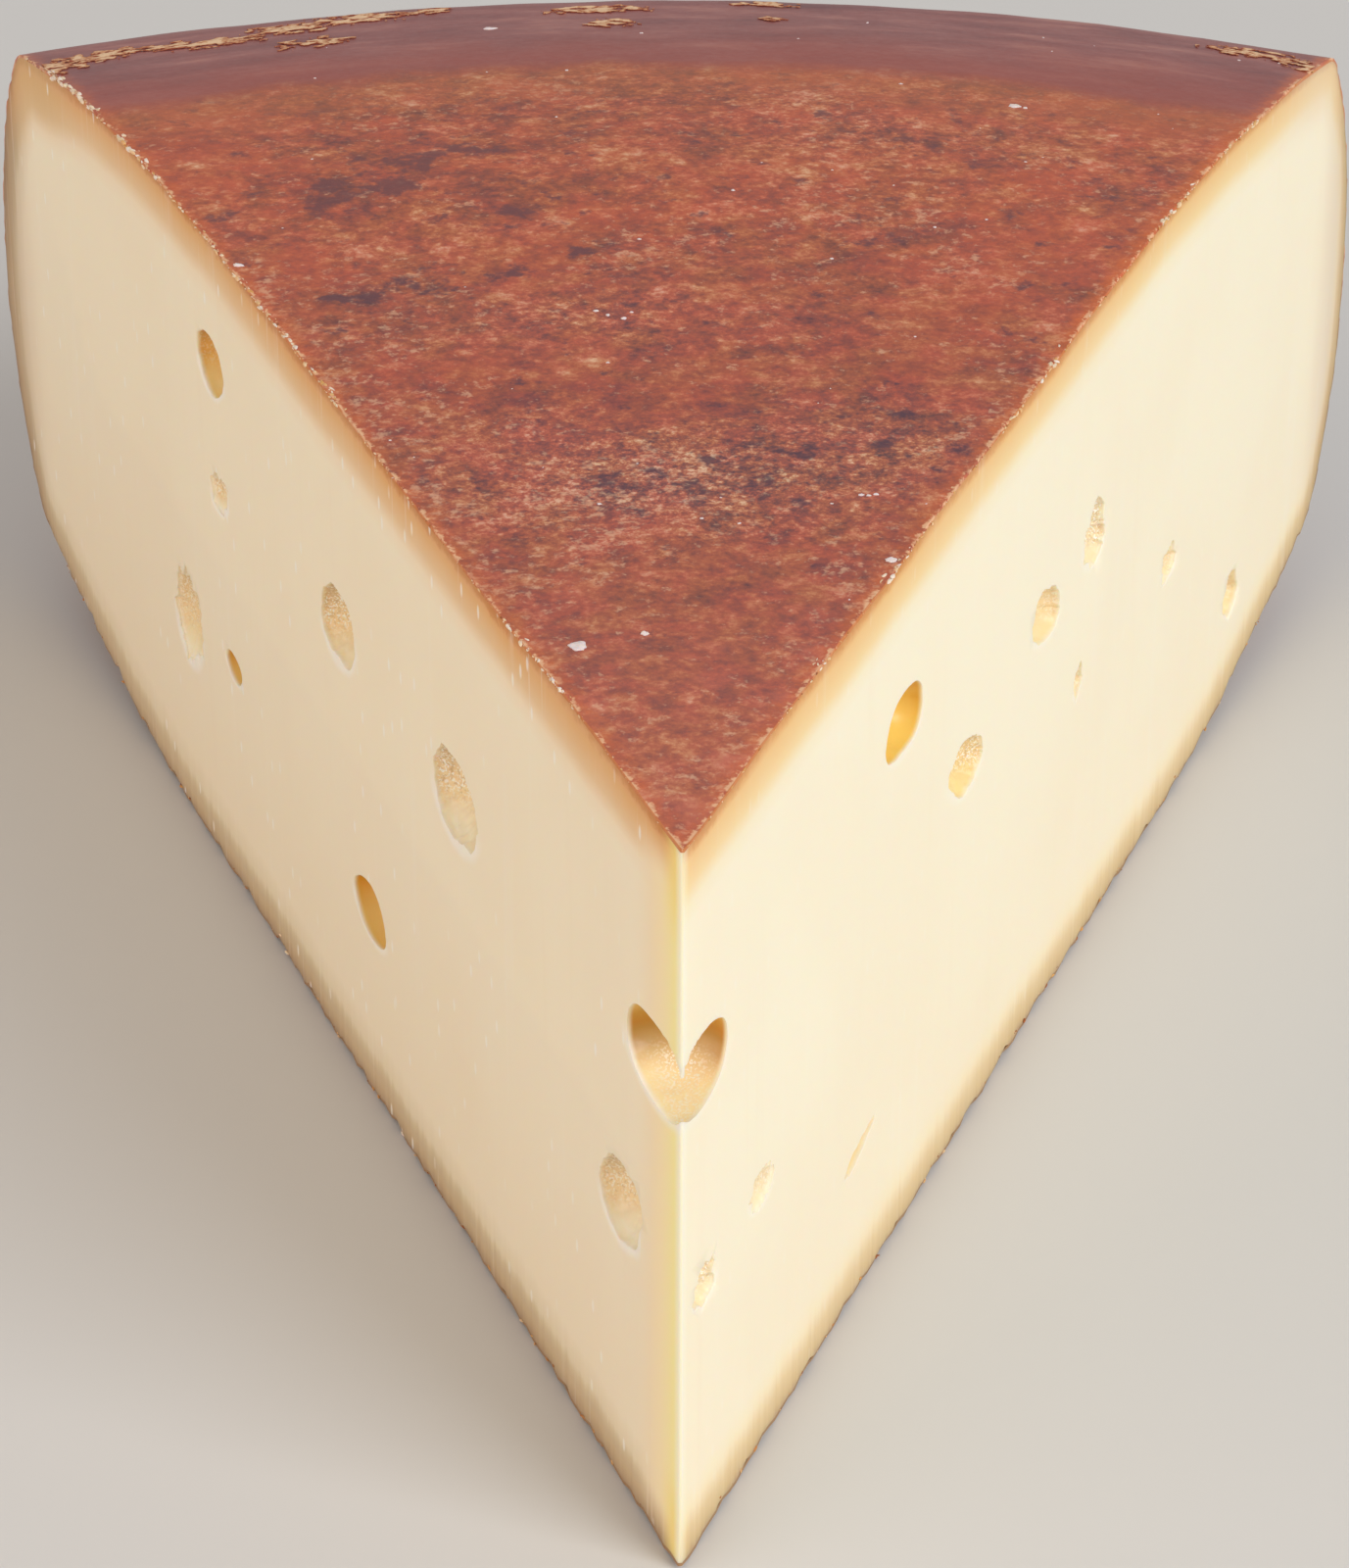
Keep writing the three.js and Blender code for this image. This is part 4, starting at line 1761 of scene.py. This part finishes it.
@dataclass(frozen=True)
class PasteFinish:
    """Freshly cut paste: ivory in the middle, ochre under the rind, golden to pebbled in its eyes."""

    left: CutTints = LEFT_TINTS
    right: CutTints = RIGHT_TINTS
    # Partly the bubble's own ochre, partly painted shade: the middle of its wall, which lies in the bubble's
    # own shadow, is darker.
    tip_eye: Stops = stops(
        (0.05, 255, 232, 180), (0.25, 208, 171, 112), (0.42, 196, 148, 66), (0.5, 204, 144, 52),
        (0.62, 214, 162, 66), (0.78, 238, 202, 118),
    )
    # Painted light: the yellow glow through the thin tip onto the left face, by distance from the front
    # edge.
    glow: Stops = stops(
        (0.0, 250, 232, 197), (0.4, 252, 229, 189), (0.6, 255, 233, 186), (0.75, 255, 236, 178),
        (0.85, 255, 238, 167), (1.0, 255, 242, 182),
    )
    # Painted glints on the eyes' grains.
    painted_grain_glint: Shade = linear(255, 250, 236)
    # Painted shade between the eyes' grains.
    painted_grain_shade: Shade = linear(196, 164, 120)
    tick: Shade = linear(255, 250, 240)
    dull: Shade = linear(240, 214, 176)
    # Painted highlight along the front edge.
    painted_edge_highlight: Shade = linear(255, 248, 230)
    tip_gold: Shade = linear(255, 226, 136)
    fray: Shade = linear(204, 128, 52)
    heel_shade: Shade = linear(229, 221, 219)
    left_corner: Shade = linear(209, 174, 113)
    right_corner: Shade = linear(236, 208, 172)
    wander: Grain = Grain(14.0, 3.0, 0.55, 1.0)
    drag: Grain = Grain(0.8, 2.0, 0.5, 2.0)
    pale_streaks: Grain = Grain(3.2, 4.0, 0.65, 3.0, 0.55, 0.75, 0.12)
    dull_streaks: Grain = Grain(3.2, 4.0, 0.65, 3.0, 0.45, 0.25, 0.1)
    scratches: Grain = Grain(1.1, 2.0, 0.5, 4.0, 0.6, 0.78, 0.3)
    mottle: Grain = Grain(26.0, 2.0, 0.5, 5.0, 0.4, 0.65, 0.1)
    tick_fields: Grain = Grain(22.0, 1.0, 0.5, 6.0, 0.45, 0.58, 0.6)
    torn: Grain = Grain(1.1, 4.0, 0.7, 7.0)
    fine: Grain = Grain(0.7, 3.0, 0.55, 8.0)
    lines: Grain = Grain(1.8, 3.0, 0.55, 9.0)
    # Where the painted shade between the grains falls.
    pits: Grain = Grain(0.42, 2.0, 0.6, 11.0, 0.52, 0.36)
    # Where the painted glints on the grains fall.
    glints: Grain = Grain(0.24, 1.0, 0.5, 12.0, 0.52, 0.6, 0.9)
    band_depth: float = 8.0
    glow_reach: float = 12.0
    drawn_out: float = 0.05
    tick_cell: tuple[float, float] = (4.0, 11.0)

    def of_side(self, is_left: Signal, share: Signal, name: str) -> Signal:
        """Colours a share by the tints of this name, each cut by its own."""
        right, left = (share.bench.ramp(share, getattr(tints, name)) for tints in (self.right, self.left))
        return share.bench.blend(is_left, right, left)

    def on_face(self, bench: Bench, z: Signal, along: Signal, is_left: Signal) -> Signal:
        """Colours the flat cut faces.

        Args:
            bench: The material in the making.
            z: Height.
            along: Distance from the tip, below zero on the left cut.
            is_left: 1 on the left cut, 0 on the right.

        Returns:
            The colour.
        """
        flat = bench.vector(along, z)
        drawn = bench.vector(along, z * self.drawn_out)
        low = bench.attribute("is_low")
        at_corner = bench.attribute("at_corner")
        rind_depth = bench.attribute("rind_depth")
        depth = rind_depth + bench.swing(flat, self.wander)
        widened = depth * (1 + at_corner * (0.35 - is_left * 0.65))
        share = (widened + bench.swing(drawn, self.drag) * low * 2.2) / self.band_depth
        # lower is darker towards the underside: partly the paste's own tan band, partly painted shade near
        # the floor.
        upper, lower = (self.of_side(is_left, share, name) for name in ("under_rind", "low"))
        rim = (rind_depth + bench.swing(flat, self.torn) * 2.6).eased(1.2, 0.2)
        colour = bench.coated(
            bench.blend(low, upper, lower),
            (rim * (1 - low) * (0.55 + is_left * 0.2), self.fray),
            (z.eased(50.0, 4.0) * 0.16, self.dull),
        )
        colour = bench.blend(bench.attribute("is_heel") * 0.8, colour, self.heel_shade, "MULTIPLY")
        corner = bench.blend(is_left, self.right_corner, self.left_corner)
        scored = bench.vector(along * 1.7, z * 0.045)
        scratched = bench.mask(scored, self.scratches) * depth.eased(12.0, 1.0) * is_left
        wide, tall = self.tick_cell
        ticks = bench.cells(bench.vector(along / wide, z / tall)).eased(0.09, 0.04)
        # Painted light: a yellow glow on the left face next to the front edge, where light shines through
        # the thin tip.
        strip = along.eased(-self.glow_reach, -5.0) * along.eased(0.5, 0.0)
        glow = bench.ramp((along + self.glow_reach) / self.glow_reach, self.glow)
        golden = along.eased(-5.0, -1.0) * along.eased(3.0, 0.0) * depth.eased(12.0, 4.0)
        return bench.coated(
            colour,
            (at_corner * depth.eased(9.0, 4.0) * 0.5, corner),
            (bench.mask(drawn, self.pale_streaks), self.tick),
            (bench.mask(drawn, self.dull_streaks), self.dull),
            (scratched, self.tick),
            (bench.mask(flat, self.mottle), self.dull),
            (ticks * bench.mask(flat, self.tick_fields) * (0.2 + is_left * 0.8), self.tick),
            # painted glow through the thin tip
            (strip * depth.eased(0.5, 6.0), glow),
            (golden * (0.25 + is_left * 0.65), self.tip_gold),
            # Painted highlight: a pale line along the front edge.
            (abs(along).eased(1.8, 0.4) * (0.35 + is_left * 0.3), self.painted_edge_highlight),
        )

    def in_eye(self, bench: Bench, place: Signal, is_left: Signal) -> Signal:
        """Colours the walls of the eyes, from their upper edge down: painted shade high on the wall, painted
        light low on it, and painted glints and shade on the grains.

        Args:
            bench: The material in the making.
            place: Place in the wheel's frame.
            is_left: 1 on the left cut, 0 on the right.

        Returns:
            The colour.
        """
        rise = bench.attribute("eye_rise")
        share = rise * 0.5 + 0.5
        is_tip = bench.attribute("is_tip")
        grainy = bench.attribute("grain") * rise.eased(-0.75, -0.1).floored(is_tip)
        return bench.coated(
            self.of_side(is_left, share, "pale_eye"),
            (bench.attribute("gold"), self.of_side(is_left, share, "golden_eye")),
            (is_tip, bench.ramp(share, self.tip_eye)),
            # Painted shade between the grains.
            (grainy * bench.mask(place, self.pits) * (0.55 - is_tip * 0.45), self.painted_grain_shade),
            # Painted glints on the grains.
            (grainy * bench.mask(place, self.glints), self.painted_grain_glint),
        )

    def make(self) -> bpy.types.Material:
        """Makes the material.

        Returns:
            The finished material.
        """
        bench = Bench("paste")
        place = bench.place()
        x, _, z = bench.split(place)
        along = x * (1 / math.sin(HALF_ANGLE))
        is_left = along.eased(0.2, -0.2)
        lip = bench.attribute("eye_reach").eased(1.3, 1.05) * bench.attribute("eye_rise").eased(0.1, -0.6)
        in_eye = bench.attribute("eye_depth").eased(0.08, 0.7)
        colour = bench.coated(
            self.on_face(bench, z, along, is_left),
            (lip * (0.2 + is_left * 0.35), self.tick),
            (in_eye, self.in_eye(bench, place, is_left)),
        )
        fine = bench.noise(bench.vector(along, z * 0.25), self.fine)
        lines = bench.noise(bench.vector(along, z * 0.03), self.lines)
        return bench.surface(
            {
                "Base Color": colour,
                "Roughness": 0.5 - in_eye * 0.2 + fine * 0.08,
                "Specular IOR Level": 0.35,
                "Subsurface Weight": 0.35,
                "Subsurface Radius": (1.0, 0.62, 0.3),
                "Subsurface Scale": 3.0 * MM,
                "Normal": bench.bump(fine * 0.4 + lines * 0.6, 0.05, 0.6),
            }
        )


@dataclass(frozen=True)
class RindFinish:
    """Washed rind: mottled brick brown, smooth and darker on the shoulder, duller round the heel."""

    reds: Stops = stops(
        (0.2, 88, 54, 64), (0.36, 132, 72, 68), (0.46, 160, 82, 68), (0.54, 180, 90, 70),
        (0.64, 204, 120, 92), (0.8, 232, 182, 156),
    )
    browns: Stops = stops(
        (0.2, 86, 56, 62), (0.36, 132, 76, 64), (0.46, 160, 88, 66), (0.54, 178, 102, 70),
        (0.64, 202, 134, 94), (0.8, 234, 196, 156),
    )
    smear: Stops = stops((0.3, 112, 60, 66), (0.45, 138, 78, 78), (0.55, 152, 90, 88), (0.7, 184, 124, 112))
    slate: Shade = linear(84, 58, 72)
    cream: Shade = linear(228, 180, 146)
    amber: Shade = linear(184, 112, 72)
    rosy: Shade = linear(206, 118, 100)
    ruddy: Shade = linear(200, 90, 66)
    dusty: Shade = linear(202, 138, 127)
    orange: Shade = linear(233, 125, 70)
    smear_red: Shade = linear(158, 72, 60)
    cut_edge: Shade = linear(216, 110, 54)
    cut_line: Shade = linear(206, 124, 66)
    low_line: Shade = linear(168, 130, 92)
    cream_line: Shade = linear(252, 212, 166)
    heel: Shade = linear(158, 92, 62)
    broad: Grain = Grain(9.0, 5.0, 0.6, 1.0)
    middle: Grain = Grain(2.4, 5.0, 0.72, 2.0)
    fine: Grain = Grain(0.7, 2.0, 0.6, 3.0)
    hue: Grain = Grain(5.0, 4.0, 0.65, 4.0, 0.38, 0.62)
    blush: Grain = Grain(14.0, 5.0, 0.65, 5.0, 0.44, 0.6)
    clouds: Grain = Grain(16.0, 2.0, 0.5, 6.0)
    flecks: Grain = Grain(1.1, 3.0, 0.65, 7.0, 0.56, 0.74, 0.6)
    blots: Grain = Grain(3.2, 4.0, 0.65, 8.0, 0.6, 0.74, 0.86)
    speckle: Grain = Grain(0.55, 2.0, 0.7, 9.0)
    wander: Grain = Grain(12.0, 3.0, 0.55, 20.0)
    fray: Grain = Grain(0.9, 3.0, 0.7, 21.0)
    patches: Grain = Grain(1.8, 3.0, 0.7, 22.0, 0.47, 0.54)
    streaks: Grain = Grain(7.0, 5.0, 0.68, 23.0)
    fine_relief: Grain = Grain(0.9, 3.0, 0.6, 25.0)
    coarse_relief: Grain = Grain(3.6, 3.0, 0.6, 26.0)
    stretch: float = 1.15
    shoulder_edge: tuple[float, float] = (164.5, 171.0)

    def mottled(self, bench: Bench, where: Signal, quiet: Signal, worn: Signal, far: Signal) -> Signal:
        """Colours the rind by flecks of every size.

        Args:
            bench: The material in the making.
            where: The flecks' coordinates.
            quiet: Where flecks are rare, from 0 to 1.
            worn: Where the knife has left more flecks, from 0 to 1.
            far: How near to the shoulder, from 0 to 1.

        Returns:
            The colour.
        """
        pale = bench.attribute("tan_stain")
        dark = bench.attribute("dark_stain")
        busy = 0.9 + pale * 1.2 + quiet * 0.25 + far * 0.35
        tone = 0.49 + quiet * 0.025 + bench.swing(where, self.broad) * (0.45 - quiet * 0.15 + far * 0.3)
        tone = tone + (bench.swing(where, self.middle) * 0.85 + bench.swing(where, self.fine) * 0.35) * busy
        tone = tone + bench.swing(where, self.speckle) * pale * 1.4 - dark * 0.06
        hue = bench.mask(where, self.hue)
        blush = bench.mask(where, self.blush)
        more_flecks = bench.swing(where, self.clouds) * 0.3 + pale * 0.03 - quiet * 0.03 + worn * 0.05
        more_blots = dark * 0.17 + pale * 0.04 + far * 0.035 - quiet * 0.05
        return bench.coated(
            bench.ramp(tone, self.reds),
            (hue, bench.ramp(tone, self.browns)),
            (blush * (1 - quiet) * (0.22 + far * 0.2), self.ruddy),
            (quiet * (0.2 + blush * 0.35), self.rosy),
            (pale * 0.13, self.dusty),
            (bench.mask(where, self.flecks, more_flecks), self.cream),
            (bench.mask(where, self.blots, more_blots), self.slate),
        )

    def at_cuts(self, bench: Bench, colour: Signal, place: Signal, inside: Signal) -> Signal:
        """Lets the rind shine orange next to the cuts and frays its very edge.

        Args:
            bench: The material in the making.
            colour: The rind's colour.
            place: Place in the wheel's frame.
            inside: Distance from the nearest cut.

        Returns:
            The colour with its edges.
        """
        x, y, z = bench.split(place)
        fray = bench.swing(place, self.fray)
        patches = bench.mask(place, self.patches)
        glow = (inside + fray * 2.5).eased(2.8, 0.0) ** 1.5
        far_right = x.eased(-2.0, 2.0) * (y - TIP.y).eased(75.0, 105.0)
        line = bench.blend(z.eased(60.0, 30.0), self.cut_line, self.low_line)
        return bench.coated(
            colour,
            (glow * (0.3 + patches * 0.2 + far_right * 0.3), self.cut_edge),
            ((inside + fray * 1.8).eased(0.6, 0.2) * patches * 0.6, self.cream_line),
            (inside.eased(0.16, 0.06) * 0.9, line),
            ((inside + fray * 1.5).eased(2.2, 1.0) * z.eased(40.0, 25.0), self.low_line),
        )

    def make(self) -> bpy.types.Material:
        """Makes the material.

        Returns:
            The finished material.
        """
        bench = Bench("rind")
        place = bench.place()
        x, y, z = bench.split(place)
        radius = bench.add("ShaderNodeVectorMath", {"operation": "LENGTH"}, {0: bench.vector(x, y)}, "Value")
        where = bench.vector(x, y * self.stretch, z * self.stretch)
        wander = bench.swing(where, self.wander)
        is_top = z.eased(40.0, 50.0)
        shoulder = (radius + wander * 9.0).eased(*self.shoulder_edge) * is_top
        quiet = radius.eased(60.0, 22.0) * is_top
        far = radius.eased(80.0, 145.0) * is_top
        inside = (y - TIP.y) * math.sin(HALF_ANGLE) - abs(x) * math.cos(HALF_ANGLE)
        along = bench.vector(x * 0.35, radius * 1.6, z * 1.6)
        smear = bench.ramp(bench.noise(along, self.streaks), self.smear)
        redder = (radius + wander * 14.0).eased(188.0, 170.0)
        colour = bench.coated(
            self.mottled(bench, where, quiet, inside.eased(7.0, 0.5) * is_top, far),
            (far * 0.12, self.orange),
            ((radius + wander * 6.0).eased(152.0, 165.0) * is_top * 0.4, self.amber),
            (shoulder * 0.94, bench.blend(redder * 0.75, smear, self.smear_red)),
            (radius.eased(201.0, 204.0) * 0.45, self.heel),
        )
        fine = bench.noise(where, self.fine_relief)
        height = (fine * 0.5 + bench.noise(where, self.coarse_relief) * 0.5) * (1 - shoulder * 0.8)
        return bench.surface(
            {
                "Base Color": self.at_cuts(bench, colour, place, inside),
                "Roughness": 0.6 - shoulder * 0.2 + (fine - 0.5) * 0.2,
                "Specular IOR Level": 0.4,
                "Normal": bench.bump(height, 0.3, 0.7),
            }
        )


@dataclass(frozen=True)
class CrumbFinish:
    """Dry crumbs and chips, from pale to dark by their own shade."""

    name: str
    shades: Stops
    grain: Grain = Grain(0.5, 3.0, 0.7)

    def make(self) -> bpy.types.Material:
        """Makes the material.

        Returns:
            The finished material.
        """
        bench = Bench(self.name)
        grain = bench.noise(bench.place(), self.grain)
        return bench.surface(
            {
                "Base Color": bench.ramp(bench.attribute("shade") + (grain - 0.5) * 0.35, self.shades),
                "Roughness": 0.6 + grain * 0.2,
                "Specular IOR Level": 0.3,
                "Subsurface Weight": 0.3,
                "Subsurface Radius": (1.0, 0.6, 0.3),
                "Subsurface Scale": 0.6 * MM,
                "Normal": bench.bump(grain, 0.05),
            }
        )


CRUMBS = CrumbFinish(
    "crumbs", stops((0.0, 250, 228, 208), (0.35, 244, 212, 174), (0.65, 224, 164, 98), (1.0, 158, 92, 54))
)
CHIPS = CrumbFinish("chips", stops((0.0, 244, 232, 230), (1.0, 214, 170, 150)))


@dataclass(frozen=True)
class FlakeFinish:
    """Dry flakes of smear: rusty rims round tan and cream middles."""

    rim: Shade = linear(162, 80, 54)
    middle: Shade = linear(212, 154, 110)
    pale: Shade = linear(238, 200, 160)
    grain: Grain = Grain(1.0, 5.0, 0.75)

    def make(self) -> bpy.types.Material:
        """Makes the material.

        Returns:
            The finished material.
        """
        bench = Bench("flakes")
        x, y, z = bench.split(bench.place())
        grain = bench.noise(bench.vector(x, y * 1.8, z), self.grain)
        inner = bench.attribute("rim") + (grain - 0.5) * 2.4
        tan, cream = (inner.eased(0.0, 0.4), self.middle), (inner.eased(0.4, 0.9), self.pale)
        return bench.surface(
            {
                "Base Color": bench.coated(self.rim, tan, cream),
                "Roughness": 0.62 + grain * 0.15,
                "Specular IOR Level": 0.3,
                "Normal": bench.bump(grain, 0.12),
            }
        )


@dataclass(frozen=True)
class FloorFinish:
    """Plain pale floor."""

    shade: Shade = linear(214, 212, 208)
    white: Shade = (1.0, 1.0, 1.0, 1.0)

    def make(self) -> bpy.types.Material:
        """Makes the material.

        Returns:
            The finished material.
        """
        bench = Bench("floor")
        where = bench.add("ShaderNodeTexCoord", {}, {}, "Object")
        cloud = bench.add("ShaderNodeTexNoise", {}, {"Vector": where, "Scale": 3.0, "Detail": 2.0}, "Fac")
        colour = bench.blend(cloud * 0.04, self.shade, self.white)
        return bench.surface({"Base Color": colour, "Roughness": 0.7})


# ---- Studio ----


@dataclass(frozen=True)
class Lamp:
    """A soft rectangular light that looks at the cheese."""

    name: str
    place: tuple[float, float, float]
    size: float
    power: float
    colour: Colour

    def hang(self, target: Vector) -> None:
        """Adds the light to the scene.

        Args:
            target: Where it looks.
        """
        light = bpy.data.lights.new(self.name, "AREA")
        light.shape = "SQUARE"
        light.size = self.size
        light.energy = self.power
        light.color = self.colour
        holder = bpy.data.objects.new(self.name, light)
        holder.location = self.place
        holder.rotation_euler = (Vector(self.place) - target).to_track_quat("Z", "Y").to_euler()
        bpy.context.scene.collection.objects.link(holder)


@dataclass
class Studio:
    """Floor, lights and camera."""

    floor_size: float = 6.0
    world_colour: Colour = (1.0, 0.985, 0.97)
    world_strength: float = 0.48
    lamps: Sequence[Lamp] = (
        Lamp("key", (2.2, -1.8, 1.86), 1.8, 71.0, (0.98, 1.0, 1.04)),
        Lamp("fill", (-1.2, -0.7, 0.5), 1.0, 6.9, (1.0, 0.8, 0.68)),
    )
    eye_place: Vector = field(default_factory=lambda: Vector((-1.954, -382.67, 325.1)))
    pitch: float = 0.556993
    yaw: float = -0.003313
    roll: float = 0.002423
    lens: float = 122.63
    target: Vector = field(default_factory=lambda: Vector((0.0, 0.0, 0.04)))

    def lay_floor(self, finish: bpy.types.Material) -> None:
        """Lays the floor under the cheese.

        Args:
            finish: The floor's material.
        """
        shape = bmesh.new()
        bmesh.ops.create_grid(shape, x_segments=8, y_segments=8, size=self.floor_size / 2)
        floor = make_object("floor", shape)
        floor.data.materials.append(finish)

    def light(self) -> None:
        """Hangs the lamps and lights the surroundings."""
        for lamp in self.lamps:
            lamp.hang(self.target)
        world = bpy.data.worlds.new("studio")
        world.use_nodes = True
        background = world.node_tree.nodes["Background"]
        background.inputs["Color"].default_value = (*self.world_colour, 1.0)
        background.inputs["Strength"].default_value = self.world_strength
        bpy.context.scene.world = world

    def set_camera(self) -> None:
        """Sets the camera at the height of a standing viewer who looks down on the tip."""
        data = bpy.data.cameras.new("camera")
        data.lens = self.lens
        data.clip_start = 0.01
        camera = bpy.data.objects.new("camera", data)
        forward = Vector((0.0, math.cos(self.pitch), -math.sin(self.pitch)))
        right = Vector((1.0, 0.0, 0.0))
        turn = Matrix.Rotation(self.yaw, 3, "Z")
        forward, right = turn @ forward, turn @ right
        right = Matrix.Rotation(-self.roll, 3, forward) @ right
        above = right.cross(forward)
        camera.matrix_world = Matrix((right, above, -forward)).transposed().to_4x4()
        camera.location = (self.eye_place + WHEEL_AXIS) * MM
        bpy.context.scene.collection.objects.link(camera)
        bpy.context.scene.camera = camera
        bpy.context.scene.view_settings.view_transform = "Standard"


def main() -> None:
    """Builds the cheese, what lies on it and the studio."""
    logging.basicConfig(level=logging.INFO, format="%(name)s %(message)s")
    section = WheelSection()
    wear = CutWear()
    form = WedgeForm(section, RindWaves(), RindPits(), wear)
    PasteBody(form, EYES, TipEye()).build(PasteFinish().make())
    rind = RindShell(form).build(RindFinish().make())
    surface = Surface.of(rind)
    EdgeCrumbs(surface, section, wear).build(CRUMBS.make())
    ShoulderFlakes(surface).build(FlakeFinish().make())
    RindChips(surface).build(CHIPS.make())
    studio = Studio()
    studio.lay_floor(FloorFinish().make())
    studio.light()
    studio.set_camera()


if __name__ == "__main__":
    main()
